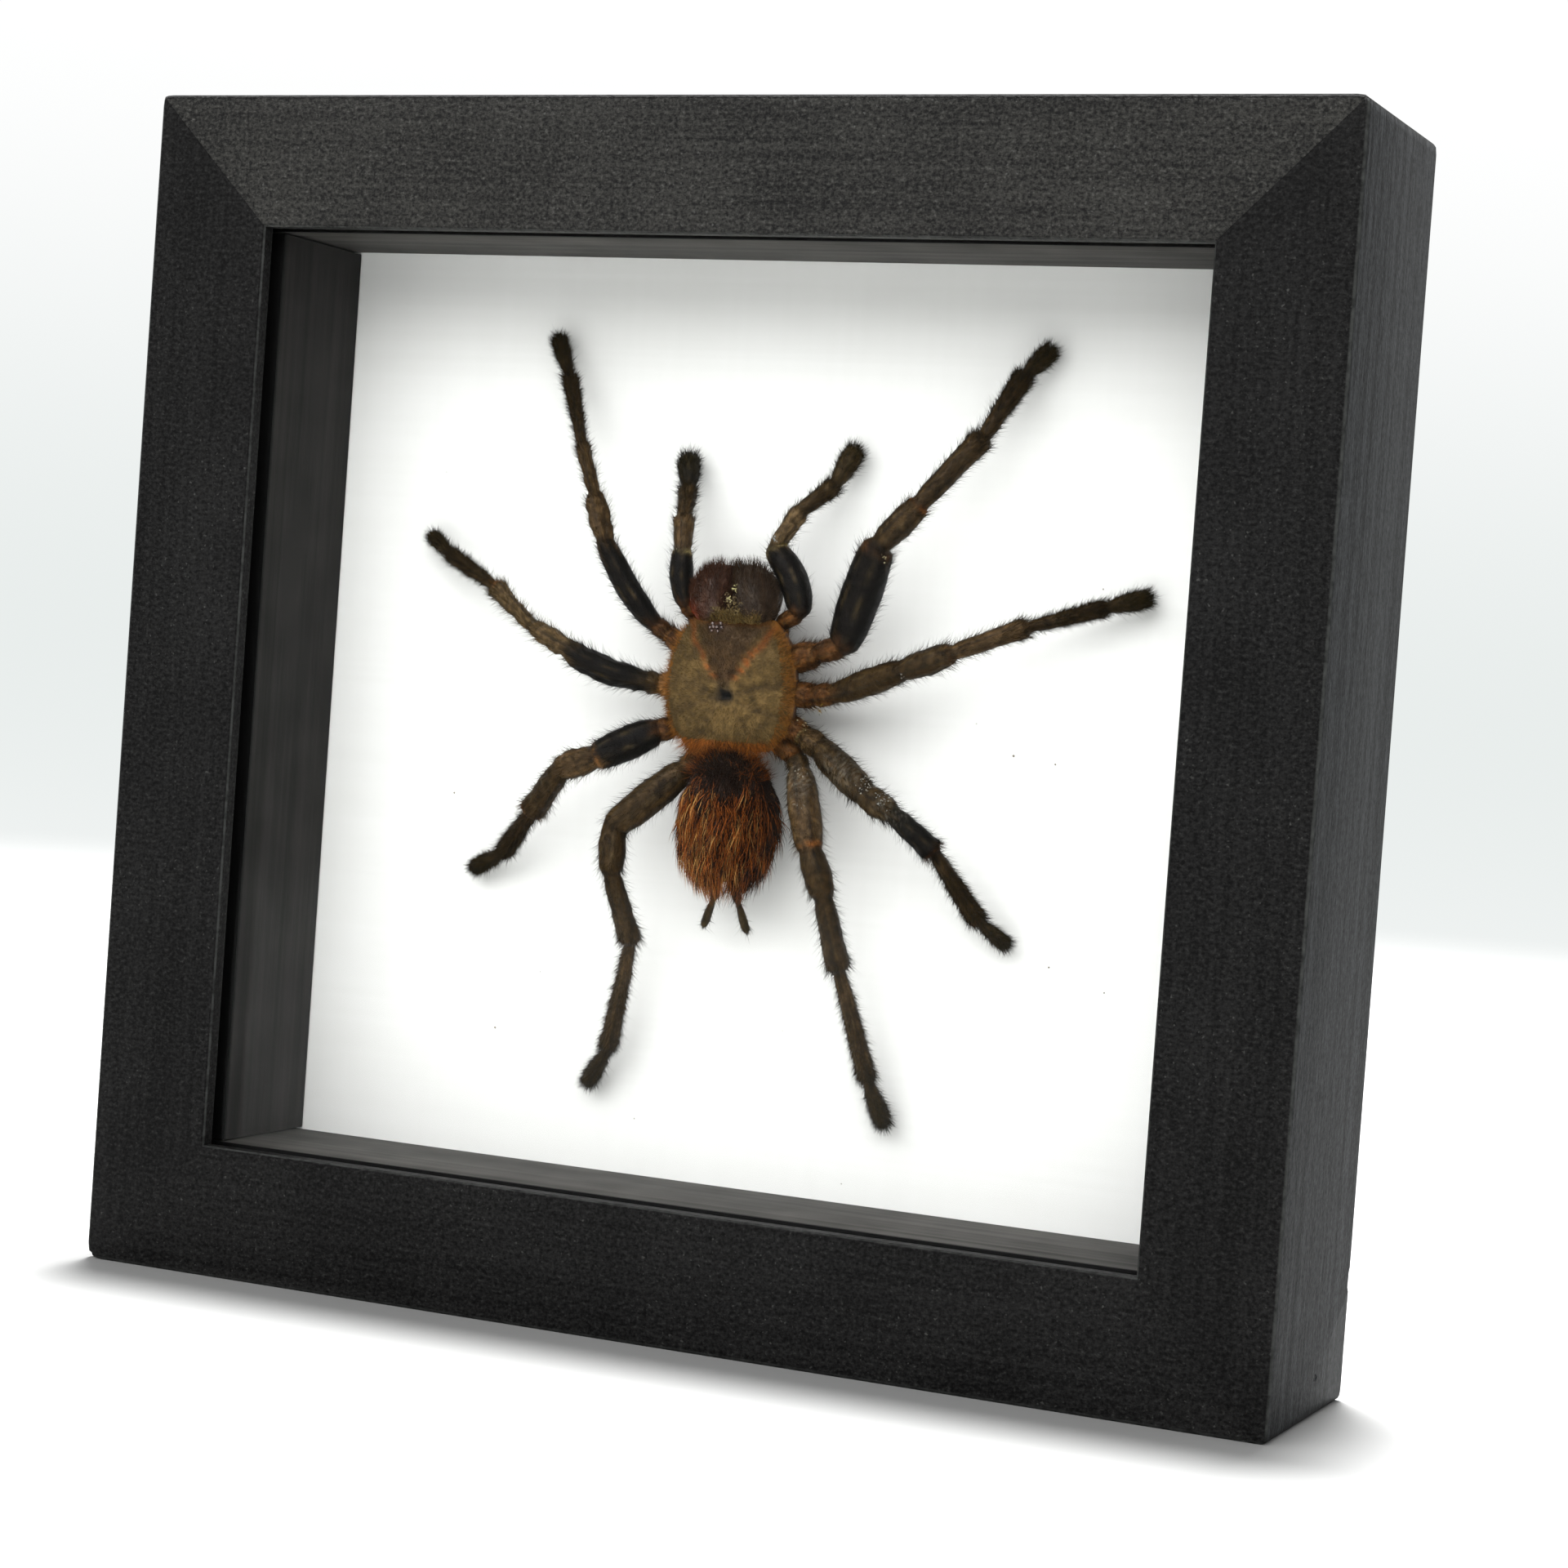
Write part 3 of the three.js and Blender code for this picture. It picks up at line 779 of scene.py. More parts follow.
def prosoma_rings(count, sides):
    """Points and colours of the whole shell in rings from its rear to its front."""
    stations = np.interp(np.linspace(0, 1, count), np.linspace(0, 1, len(PROSOMA_Z)), PROSOMA_Z)
    z, turn = grid(stations, sides)
    half, across, rise = half_width(z), np.cos(turn), np.sin(turn)
    x = PROSOMA_X + half * np.sign(across) * np.abs(across) ** 0.85
    depth = (PROSOMA_RIM - PROSOMA_UNDER) * (half / 11) ** 0.5
    height = PROSOMA_RIM + np.where(rise > 0, dome_height(z) * np.abs(rise) ** 0.8, depth * rise)
    height = height + carapace_relief(x, z) * np.clip(rise * 3, 0, 1)
    return over_card(x, z, height), carapace_colours(x, z, rise > 0)


carapace = skin_of_rings("carapace", *prosoma_rings(count=70, sides=72))
velvet_shell = dried_shell(
    "carapace cuticle", roughness=0.55, coat=0.15, mottle_mm=1.6, relief_mm=0.12
)
fit_piece(carapace, velvet_shell, "carapace_velvet", "prosoma")


def carapace_height(x, z):
    across = np.clip(np.abs(x - PROSOMA_X) / half_width(z), 0, 0.999) ** (1 / 0.85)
    rise = np.sqrt(1 - across**2)
    relief = carapace_relief(x, z) * np.clip(rise * 3, 0, 1)
    return PROSOMA_RIM + dome_height(z) * rise**0.8 + relief


def top_normals(x, z, step=0.2):
    """Outward directions of the carapace top near each point, from its heights."""
    height = carapace_height(x, z)
    slope_x = (carapace_height(x + step, z) - height) / step
    slope_z = (carapace_height(x, z + step) - height) / step
    return unit(np.stack([-slope_x, -np.ones_like(x), -slope_z], axis=-1))


def hairs(roots, ways, lengths_mm, width_mm, shades, sags=0.0):
    """One lot of hair of one width, as the columns that grow joins."""
    widths = np.full(len(roots), width_mm * MM)
    return roots, ways, sags + 0 * ways, lengths_mm * MM, widths, shades


def tossed(ways, spread):
    """Directions that stray from the given ones."""
    return unit(ways + draw.normal(0, spread, ways.shape))


def carapace_velvet(count):
    """Short flat pile combed away from the pit."""
    z = draw.uniform(91.6, 111.6, count)
    x = PROSOMA_X + half_width(z) * draw.uniform(-0.97, 0.97, count)
    off_eyes = np.hypot(x + 1.6, (z - 110.1) * 1.2) > 1.3
    off_pit = np.hypot((x - FOVEA[0]) / 1.5, z - FOVEA[1] - 0.3) > 1.05
    x, z = x[off_eyes & off_pit], z[off_eyes & off_pit]
    count = len(x)
    away = unit(np.stack([x - FOVEA[0], np.zeros(count), z - FOVEA[1]], axis=-1))
    ways = tossed(away + 0.5 * top_normals(x, z), 0.34)
    shades = carapace_colours(x, z, np.ones(count, bool)) * draw.uniform(0.5, 1.65, (count, 1))
    roots = over_card(x, z, carapace_height(x, z) - 0.04)
    return hairs(roots, ways, draw.uniform(0.25, 0.55, count), 0.055, shades)


def carapace_fringe(count):
    """Longer golden hair round the rim, longest where the rear edge meets the abdomen."""
    rear_edge = np.arange(count) > count * 0.5
    z = np.where(rear_edge, draw.uniform(91.2, 92.6, count), draw.uniform(92.5, 110, count))
    share = np.where(rear_edge, draw.uniform(0, 0.84, count), draw.uniform(0.86, 0.99, count))
    x = PROSOMA_X + draw.choice([-1, 1], count) * share * half_width(z)
    away = unit(np.stack([x - PROSOMA_X, -0.2 * np.ones(count), z - 101], axis=-1))
    ways = tossed(away, 0.42)
    rear = ramp(z, 94, 92)
    shades = tinted(ink(162, 106, 44), rear, ink(188, 110, 44)) * draw.uniform(0.2, 1.7, (count, 1))
    tufts = 0.55 + 0.45 * np.sin(x * 1.9 + 1)
    lengths = draw.uniform(0.5, 1.6, count) + rear * tufts * draw.uniform(0.4, 3.4, count)
    return hairs(over_card(x, z, carapace_height(x, z) - 0.05), ways, lengths, 0.085, shades)


def grow(name, batches, finish, slot, steps=1):
    """Joins lots of hair in one piece."""
    columns = [np.concatenate(column) for column in zip(*batches)]
    fit_piece(spikes(name, *columns, steps), finish, slot)


def front_crust(count):
    """Matted pale hair and dried glue in a band where the jaws leave the carapace."""
    x, z = draw.uniform(-5.2, 5.2, count), draw.uniform(110.8, 112.6, count)
    ways = tossed(np.tile([0, -0.75, 0.65], (count, 1)), 0.35)
    shades = ink(158, 130, 78) * draw.uniform(0.35, 1.3, (count, 1))
    roots = over_card(x, z, 14.6 - 0.05 * (x - 0.6) ** 2)
    return hairs(roots, ways, draw.uniform(0.5, 1.5, count), 0.15, shades)


draw = np.random.default_rng(7)
grow(
    "carapace_velvet_hair",
    [carapace_velvet(21000), carapace_fringe(3600), front_crust(900)],
    hair_finish("velvet hair", roughness=0.5), "carapace_velvet",
)


# ---- Eyes ----
# Eight small glossy lenses crowded on the mound at the front of the carapace.

# Each eye: x, z and radius in mm.
EYES = [
    [-2.3, 110.6, 0.34], [-0.9, 110.7, 0.34], [-1.9, 110.1, 0.3], [-1.3, 110.1, 0.3],
    [-2.7, 110.0, 0.27], [-0.6, 110.1, 0.27], [-2.2, 109.5, 0.24], [-1.1, 109.5, 0.24],
]


def lens_gloss():
    paint = Paint("eye lens", Roughness=0.08, Coat_Roughness=0.03)
    glint = paint.place.noise(1500, 2.0)
    return paint.finish(
        Base_Color=glint.tint((0.012, 0.006, 0.005), (0.11, 0.06, 0.045)),
        Coat_Weight=0.6 + 0.4 * glint,
    )


bpy.ops.object.select_all(action="DESELECT")
eyes = []
for x, z, radius in EYES:
    height = float(carapace_height(x, z))
    bpy.ops.mesh.primitive_uv_sphere_add(
        segments=16, ring_count=10, radius=radius * MM,
        location=(x * MM, CARD_Y - (height + radius * 0.3) * MM, z * MM),
    )
    eyes.append(bpy.context.object)
eye_group = join_as("eyes", eyes)
bpy.ops.object.shade_smooth()
fit_piece(eye_group, lens_gloss(), "spider_shell")


# ---- Legs ----
# Eight dried legs of seven hollow segments each, thinner and creased on the left side. Pale
# membrane shows at the joints, and short pile and sparse bristles cover every segment.

# A limb's joints run from its tip to its root as (x, z), with one list of heights over the card
# for all legs. Its radii, colours and creases run tarsus, metatarsus, tibia, patella, femur,
# trochanter, coxa.
LEG_HEIGHTS = [2.6, 4.6, 9, 13, 13.5, 9.8, 8.8, 8]
PITCH = ink(19, 14, 8)
UMBER = ink(67, 52, 30)
TAUPE = ink(88, 69, 45)
FADED = ink(106, 87, 61)
RUSSET = ink(96, 63, 33)
TAN = ink(188, 134, 78)
ORANGE = ink(170, 104, 46)
CREAM = ink(196, 176, 120)
DUST_AND_SHEEN = ink(150, 146, 136)
OLIVE = ink(64, 55, 23)


def limb(path, heights, radii, shades, shrivel, **extras):
    """A limb in mm. Bow bends a segment, rings colour a joint and dust lies round a place; on
    leg_4_right the dust is partly painted sheen.
    """
    joints = [(x, z, height) for (x, z), height in zip(path, heights)]
    plan = {"joints": joints, "radii": radii, "shades": shades, "shrivel": shrivel}
    return plan | {"bow": {}, "rings": {}, "dust": []} | extras


LEGS = {
    "leg_1_left": limb(
        [(-39.4, 155.6), (-35.8, 149), (-30.3, 137.8), (-25.5, 129.7), (-22.8, 122.3),
         (-14.7, 110), (-12.9, 108.6), (-7.5, 105)],
        LEG_HEIGHTS, [1.1, 1.15, 1.2, 1.7, 2, 1.7, 1.9],
        [UMBER, UMBER, TAUPE, TAUPE, PITCH, RUSSET * 0.7, RUSSET],
        [0.1, 0.18, 0.3, 0.3, 0.08, 0.14, 0.14],
        bow={4: [0, -1.05, 0.35]}, rings={5: ORANGE, 6: TAN},
    ),
    "leg_2_left": limb(
        [(-60.3, 122.2), (-55.4, 119.2), (-44.2, 114.2), (-34.8, 108.1), (-27.8, 105.2),
         (-15.8, 100.9), (-13.7, 100.5), (-8.6, 100.4)],
        LEG_HEIGHTS, [1.0, 1.1, 1.5, 1.75, 2.1, 2, 2.2],
        [UMBER, UMBER, FADED, FADED, PITCH, UMBER, TAN * 0.6],
        [0.12, 0.2, 0.28, 0.34, 0.22, 0.14, 0.14],
        bow={4: [-0.3, -0.9, 0]}, rings={2: ORANGE, 6: TAN},
    ),
    "leg_3_left": limb(
        [(-48.3, 68), (-41.8, 71.3), (-34.9, 78.5), (-28.2, 85.8), (-21.7, 88.4), (-12.9, 93.3),
         (-10.9, 93.9), (-7.6, 96.4)],
        LEG_HEIGHTS, [1.1, 1.4, 2.1, 2.3, 2.8, 2, 2],
        [UMBER, UMBER, UMBER, TAUPE, PITCH, RUSSET, RUSSET],
        [0.06, 0.1, 0.12, 0.14, 0.06, 0.1, 0.1],
        rings={2: ORANGE, 4: TAN, 6: ORANGE},
    ),
    "leg_4_left": limb(
        [(-24.8, 35), (-20.4, 41.3), (-15.5, 59.3), (-17.9, 70.3), (-17.7, 77.6), (-7.9, 87.4),
         (-6.5, 89.3), (-6, 93)],
        LEG_HEIGHTS, [1.15, 1.35, 1.9, 2.3, 2.7, 1.8, 1.8],
        [UMBER, TAUPE, UMBER, UMBER, UMBER, TAUPE, RUSSET],
        [0.06, 0.1, 0.12, 0.12, 0.08, 0.1, 0.1],
        rings={2: RUSSET},
    ),
    "leg_1_right": limb(
        [(45.9, 156.1), (42.3, 151.6), (38, 141.6), (30, 130.8), (24, 124.1), (17.7, 108.4),
         (13, 107.1), (6.6, 105.4)],
        LEG_HEIGHTS, [1.3, 1.5, 1.9, 2.2, 3.3, 2, 2.4],
        [UMBER, UMBER, UMBER, UMBER, PITCH, RUSSET, RUSSET],
        [0.06, 0.08, 0.08, 0.1, 0.05, 0.12, 0.1],
        rings={3: ORANGE, 4: RUSSET, 5: TAN, 6: TAN},
    ),
    "leg_2_right": limb(
        [(64.4, 119), (58, 117), (47.3, 113.2), (37, 108.5), (29.3, 105.3), (16.9, 101.1),
         (12.9, 100.4), (8, 100.8)],
        LEG_HEIGHTS, [1.3, 1.2, 1.6, 2.05, 2.15, 1.9, 2.2],
        [UMBER, UMBER, TAUPE, UMBER, UMBER, RUSSET, RUSSET],
        [0.06, 0.08, 0.1, 0.14, 0.12, 0.12, 0.1],
        rings={3: RUSSET, 5: TAN, 6: ORANGE},
    ),
    "leg_3_right": limb(
        [(45.6, 64.4), (41.4, 67.7), (34.9, 78), (29.1, 83.5), (24.6, 86.1), (15.2, 92.6),
         (11.9, 93.9), (7, 97)],
        LEG_HEIGHTS, [1.0, 1.4, 1.85, 2.2, 2.5, 2.1, 2],
        [UMBER, UMBER, PITCH, UMBER, UMBER, TAUPE, RUSSET],
        [0.06, 0.08, 0.1, 0.14, 0.12, 0.12, 0.1],
        rings={1: RUSSET, 2: ORANGE, 6: CREAM}, dust=[(3.05, 0.35), (4.4, 0.35)],
    ),
    "leg_4_right": limb(
        [(27.5, 34.4), (25, 41.3), (20.6, 58.5), (18.8, 69.8), (16.2, 76.9), (11.9, 88.8),
         (10.9, 90.7), (6, 93.4)],
        LEG_HEIGHTS, [1.25, 1.35, 1.9, 2.3, 2.6, 1.9, 1.8],
        [UMBER, TAUPE, UMBER, UMBER, TAUPE, UMBER, RUSSET],
        [0.06, 0.1, 0.1, 0.1, 0.08, 0.1, 0.1],
        # The dust on this femur is partly painted sheen.
        rings={4: ORANGE, 6: ORANGE}, dust=[(4.8, 0.25)],
    ),
}
OLIVE_CAST = np.array([1.05, 1.03, 0.72])
# A limb's rings stand this far apart, and its skin lies a pile's depth inside its radii, in mm.
RING_SPACING = 0.3
PILE_DEPTH = 0.14
ROUND_SIDES = 28
# How thick a segment is at shares of its length, from its far end: the club of a foot, the
# sleeves above it and the rounded thighs.
SEGMENT_SHARE = [0, 0.1, 0.28, 0.52, 0.78, 0.92, 1]
CLUB_GIRTH = [0.82, 1.0, 1.1, 1.08, 0.92, 0.72, 0.62]
SLEEVE_GIRTH = [0.98, 1.06, 1.0, 0.95, 0.92, 0.83, 0.7]
ROUND_GIRTH = [0.78, 0.9, 0.99, 1.02, 0.95, 0.84, 0.74]


def limb_course(plan):
    """Centres and radii in mm down a limb, and where each ring is as segment + share."""
    joints, radii = np.array(plan["joints"], float), plan["radii"]
    centres, girth, place = [], [], []
    for i, radius in enumerate(radii):
        span = joints[i + 1] - joints[i]
        steps = max(int(np.linalg.norm(span) / RING_SPACING), 5)
        share = np.arange(steps) / steps
        bow = np.array(plan["bow"].get(i, [0, 0, 0]), float)
        centres.append(joints[i] + span * share[:, None] + bow * (4 * share * (1 - share))[:, None])
        profile = [CLUB_GIRTH, SLEEVE_GIRTH, SLEEVE_GIRTH, ROUND_GIRTH][min(i, 3)]
        girth.append(radius * np.interp(share, SEGMENT_SHARE, profile))
        place.append(i + share)
    centres, girth, place = np.concatenate(centres), np.concatenate(girth), np.concatenate(place)
    kernel = np.ones(5) / 5
    for axis in range(3):
        padded = np.pad(centres[:, axis], 4, mode="reflect", reflect_type="odd")
        centres[:, axis] = np.convolve(np.convolve(padded, kernel, "valid"), kernel, "valid")
    girth = np.convolve(np.pad(girth, 1, mode="edge"), kernel[:3] * 5 / 3, "valid")
    from_tip = np.linalg.norm(centres - centres[0], axis=1) + 0.02
    blunt = np.clip(from_tip / radii[0], 0, 1)
    girth = np.maximum(girth - PILE_DEPTH, 0.4) * (1 - (1 - blunt) ** 3) ** 0.5
    return centres, girth, place


def limb_frame(points):
    """At each point of a course in metres: the way to the root, across it, and up off the card."""
    along = unit(np.gradient(points, axis=0))
    off_card = np.array([0.0, -1.0, 0.0])
    up = unit(off_card - along * (along @ off_card)[:, None])
    return along, np.cross(along, up), up


def folds(place, turn, strength):
    """Creases that run along a limb and wander round it, as the skin shrank."""
    relief = np.zeros(np.broadcast_shapes(place.shape, turn.shape))
    for waves in (2, 3, 5, 8):
        drift, phase = draw.uniform(-2.2, 2.2), draw.uniform(0, 6.28)
        bend = draw.uniform(0.3, 1.0) * np.sin(place * draw.uniform(2, 5) + phase)
        relief = relief + np.cos(waves * turn + drift * place + bend + phase) / waves**0.6
    knots = np.sin(place * 9.1 + draw.uniform(0, 6)) * np.sin(place * 5.3 + turn)
    puckers = np.sin(place * 31 + 3 * np.sin(turn + place)) * np.cos(turn * 3 + place * 4)
    return strength * (0.42 * relief + 0.45 * knots + 0.2 * puckers)


def limb_colours(plan, place, turn):
    """The segments' colours, streaked, blotched, dark and torn at the joints and dusty, with
    painted sheen in part of one leg's dust.
    """
    shades = np.array(plan["shades"])
    segment_ends = [i + end for i in range(len(shades)) for end in (0.12, 0.88)]
    wavering = place + 0.06 * np.sin(turn * 3 + 2) + 0.05 * np.sin(turn * 5)
    colours = np.stack(
        [np.interp(wavering, segment_ends, np.repeat(shades[:, c], 2)) for c in range(3)], axis=-1
    )
    streaks = sum(
        np.cos(waves * turn + draw.uniform(-3, 3) * place + draw.uniform(0, 6.28))
        for waves in (4, 7, 11)
    )
    blotches = np.sin(13 * place + 3 * np.sin(turn)) * np.sin(2 * turn + 7 * place)
    blotched = 0.24 + 0.4 * ramp(place, 5, 6)
    colours = colours * (1 + 0.23 * streaks + blotched * blotches)[..., None]
    bare_lines = bell(np.abs(turn) - 0.42, 0.07) * bell(place % 1 - 0.5, 0.38)
    bare_lines = bare_lines * (0.5 + 0.5 * np.sin(place * 17 + turn))
    colours = tinted(colours, 0.4 * bare_lines, ink(112, 96, 66))
    colours = colours * (1 - 0.35 * bell(place - np.round(place), 0.04))[..., None]
    for joint, tone in plan["rings"].items():
        torn = 0.45 + 0.35 * np.cos(turn * 2 + joint) + 0.2 * np.cos(turn * 7 + place * 60)
        colours = tinted(colours, 0.9 * bell(place - joint - 0.03, 0.03) * torn, tone)
    # Pale dust film on one side; on leg_4_right's femur it partly stands for painted sheen.
    for middle, reach in plan["dust"]:
        flecks = draw.uniform(0, 1, colours.shape[:2]) ** 3
        dust_and_sheen_film = bell(place - middle, reach) * flecks * np.clip(1.1 + np.cos(turn - 1.2), 0, 1)
        colours = tinted(colours, 0.45 * dust_and_sheen_film, DUST_AND_SHEEN)
    return np.clip(tinted(colours, 0.5 * bell(place, 0.9), OLIVE), 0, 1)


def limb_skin(name, plan):
    """A limb's skin and what its hair needs: rings of points, colours, places and directions."""
    centres, girth, place = limb_course(plan)
    points = over_card(centres[:, 0], centres[:, 1], centres[:, 2])
    along, across, up = limb_frame(points)
    turn = (np.arange(ROUND_SIDES) / ROUND_SIDES * 2 * math.pi + math.pi) % (2 * math.pi) - math.pi
    turn, place = turn[None, :], place[:, None]
    segment = np.minimum(place.astype(int), len(plan["radii"]) - 1)
    strength = np.array(plan["shrivel"])[segment]
    girth = girth[:, None] * (1 + folds(place, turn, strength))
    outward = np.cos(turn)[..., None] * up[:, None] + np.sin(turn)[..., None] * across[:, None]
    rings = points[:, None] + outward * (girth * MM)[..., None]
    colours = limb_colours(plan, place, turn)
    return skin_of_rings(name, rings, colours), (rings, colours, place[:, 0], along, outward)


def limb_hair(skin, count, where, lean, lengths, width, stray, darker_tone, curl):
    """Hair over a limb. Its lean runs from 0, flat towards the tip, to 1, straight out."""
    rings, colours, place, along, outward = skin
    order = draw.choice(len(place), count, p=where / where.sum())
    corner = draw.integers(0, ROUND_SIDES, count)
    drift = draw.uniform(0, 1, (count, 1))
    after = np.minimum(order + 1, len(place) - 1)
    roots = rings[order, corner] * (1 - drift) + rings[after, corner] * drift
    slide = draw.uniform(0, 1, (count, 1))
    roots = roots * (1 - slide) + rings[order, (corner + 1) % ROUND_SIDES] * slide
    out = outward[order, corner]
    lean = (lean * draw.uniform(0.6, 1.3, count))[:, None]
    ways = tossed(-along[order] * (1 - lean) + out * lean, stray)
    shades = colours[order, corner] * OLIVE_CAST * darker_tone * draw.uniform(0.5, 1.5, (count, 1))
    sags = -along[order] * curl - out * curl * 0.3
    roots = roots - out * 0.05 * MM
    return hairs(roots, ways, draw.uniform(*lengths, count), width, shades, sags)


def dress_limb(name, plan, pile=6200, bristles=2800):
    """Fits a limb's skin and grows its hair: pile, bristles, long stray hair and end tufts."""
    piece, skin = limb_skin(name + "_skin", plan)
    fit_piece(piece, limb_cuticle, "spider_shell", name)
    place = skin[2]
    all_over = np.ones(len(place))
    past_joints = 1 + 2.5 * bell(place % 1 - 0.08, 0.1)
    thinning = np.interp(place, [0, 0.7, 1.5, 2.5, 4, 5, 7], [4.0, 3.4, 2.4, 1.0, 0.7, 1.2, 2.2])
    near_tip = np.interp(place, [0, 1, 1.9, 2.2], [1, 0.8, 0.5, 0])
    tufts = near_tip * (0.15 + bell(place % 1 - 0.35, 0.28))
    # Count, where, lean, shortest and longest, width, stray, shade and curl.
    kinds = [
        (pile, all_over, 0.3, (0.3, 0.7), 0.055, 0.2, 0.9, 0),
        (bristles, past_joints * thinning, 0.5, (0.9, 1.8), 0.08, 0.2, 0.4, 0.25),
        (bristles // 2, all_over, 0.74, (1.3, 2.5), 0.05, 0.2, 0.6, 0.35),
        (bristles * 2 // 3, tufts, 0.5, (0.6, 1.3), 0.11, 0.3, 0.7, 0),
    ]
    grow(name + "_hair", [limb_hair(skin, *kind) for kind in kinds], limb_bristle, "spider_shell")


limb_cuticle = dried_shell(
    "limb cuticle", roughness=0.34, coat=0.1, mottle_mm=1.1, relief_mm=0.16, gloss=0.1
)
limb_bristle = hair_finish("limb bristle", roughness=0.45, gloss=0.05)
for name, leg in LEGS.items():
    dress_limb(name, leg)


# ---- Palps ----
# The two feelers beside the jaws: six segments each, made like the legs.

PALP_HEIGHTS = [2.6, 5, 8, 10.5, 10.3, 8.6, 7.6]
PALPS = {
    "palp_left": limb(
        [(-14.4, 137.5), (-12.9, 132), (-11.9, 127.2), (-10.5, 121.8), (-9.4, 113.4),
         (-8.9, 112), (-6.2, 108.4)],
        PALP_HEIGHTS, [1.7, 1.5, 1.7, 2, 1.4, 1.5],
        [PITCH, UMBER, TAUPE, PITCH, RUSSET, RUSSET],
        [0.08, 0.1, 0.12, 0.06, 0.1, 0.1],
        bow={3: [-0.5, 0, 0]}, rings={3: CREAM},
    ),
    "palp_right": limb(
        [(14.8, 139.8), (12.2, 133.5), (8, 129), (5.2, 123), (10.1, 113), (6.5, 111.5),
         (6, 108.6)],
        PALP_HEIGHTS, [1.6, 1.5, 1.6, 2.4, 1.5, 1.5],
        [UMBER, UMBER, FADED, PITCH, RUSSET, RUSSET],
        [0.08, 0.1, 0.12, 0.06, 0.1, 0.1],
        bow={3: [1.45, 0, 0.2]}, rings={3: CREAM},
    ),
}
for name, palp in PALPS.items():
    dress_limb(name, palp, pile=3600, bristles=900)


# ---- Jaws ----
# Two swollen dark bases with a fang folded under each, red at the root and bristly in front.

JAWS = {"chelicera_left": (-4.1, 115.1), "chelicera_right": (3.1, 115.3)}
JAW_HEIGHT = 11.0
JAW_RADII = (3.75, 4.2, 4.9)


def jaw_point(place, turn, x, z):
    """A point of a jaw's base: place runs from its root at -1 to its front at 1."""
    ahead = np.clip(place, 0, 1)
    girth = np.clip(1 - place**2, 0, 1) ** (0.4 + 0.12 * ahead)
    toe_in = -np.sign(x) * 1.1 * ahead**2
    dent = 1 - 0.05 * np.cos(3 * turn + x) - 0.04 * np.cos(7 * turn + 4 * place)
    facing_twin = np.clip(-np.sign(x) * np.sin(turn), 0, 1)
    girth = girth * dent * np.clip(1 - place**2, 0.02, 1) ** (-0.28 * facing_twin)
    return over_card(
        x + toe_in + JAW_RADII[0] * girth * np.sin(turn),
        z + JAW_RADII[2] * place + 0 * turn,
        JAW_HEIGHT + JAW_RADII[1] * girth * np.cos(turn),
    )


def jaw_shades(place, turn, reddish):
    """Brown cuticle in long streaks. A reddish jaw has a red patch at its root."""
    wrapped = (turn + math.pi) % (2 * math.pi) - math.pi
    patch = ramp(place, -0.1, -0.6) * bell(wrapped + 1.3, 0.8) * reddish
    brown = ink(72, 48, 36) if reddish else ink(64, 51, 40)
    streaks = 1 + 0.2 * np.cos(9 * turn) + 0.12 * np.cos(17 * turn + 3 * place)
    return tinted(brown, patch, ink(124, 54, 30)) * streaks[..., None]


def jaw_hair(count, x, z):
    place, turn = draw.uniform(-0.9, 0.99, count), draw.uniform(-1.9, 1.9, count)
    roots = jaw_point(place, turn, x, z)
    ways = tossed(unit(roots - over_card(x, z, JAW_HEIGHT)) * 0.55 + [0, 0, 0.8], 0.25)
    shades = jaw_shades(place, turn, x < 0) * draw.uniform(0.7, 2.4, (count, 1))
    lengths = 0.5 + 1.4 * np.clip(place + 0.2, 0, 1) * draw.uniform(0.4, 1.2, count)
    return hairs(roots, ways, lengths, 0.08, shades)


jaw_cuticle = dried_shell("jaw cuticle", roughness=0.38, coat=0.4, mottle_mm=1.2, relief_mm=0.08)
for name, (x, z) in JAWS.items():
    place, turn = grid(np.sin(np.linspace(-1.5, 1.5, 34)), sides=40)
    points, shades = jaw_point(place, turn, x, z), jaw_shades(place, turn, x < 0)
    fit_piece(skin_of_rings(name + "_skin", points, shades), jaw_cuticle, "spider_shell", name)
    fang_path = [(x, z - 4), (x, z - 1), (x, z + 3.2)]
    fang = limb(fang_path, [6, 5.6, 7.6], [0.5, 1.0], [PITCH, RUSSET], [0.02, 0.02])
    fang_skin, _ = limb_skin(name + "_fang", fang)
    fit_piece(fang_skin, jaw_cuticle, "spider_shell")
    grow(name + "_hair", [jaw_hair(2600, x, z)], limb_bristle, "spider_shell")


# ---- Abdomen ----
# The shrunken hind body under a coat of long rust-coloured bristles that lie towards the
# rear in tangled locks, over short dark fur.

ABDOMEN_Z = [70.4, 71.5, 75, 79.5, 84, 88, 90.4, 91.2]
ABDOMEN_RADIUS = [1.6, 4.1, 6.9, 7.8, 7.4, 5.6, 3.6, 1.8]
ABDOMEN_X, ABDOMEN_HEIGHT, ABDOMEN_FLAT = 0.6, 10.2, 0.82
LOCKS = 520
FUR_BROWN = ink(48, 32, 22)


def abdomen_point(z, turn):
    radius = np.interp(z, ABDOMEN_Z, ABDOMEN_RADIUS)
    radius = radius * (1 + 0.02 * np.cos(3 * turn + z * 0.4) + 0.015 * np.cos(5 * turn - z))
    return over_card(
        ABDOMEN_X + radius * np.sin(turn), z + 0 * turn,
        ABDOMEN_HEIGHT + radius * ABDOMEN_FLAT * np.cos(turn),
    )


def off_abdomen(roots, z):
    """Directions straight out of the abdomen at points of its skin."""
    return unit(roots - over_card(ABDOMEN_X + 0 * z, z, ABDOMEN_HEIGHT + 0 * z))


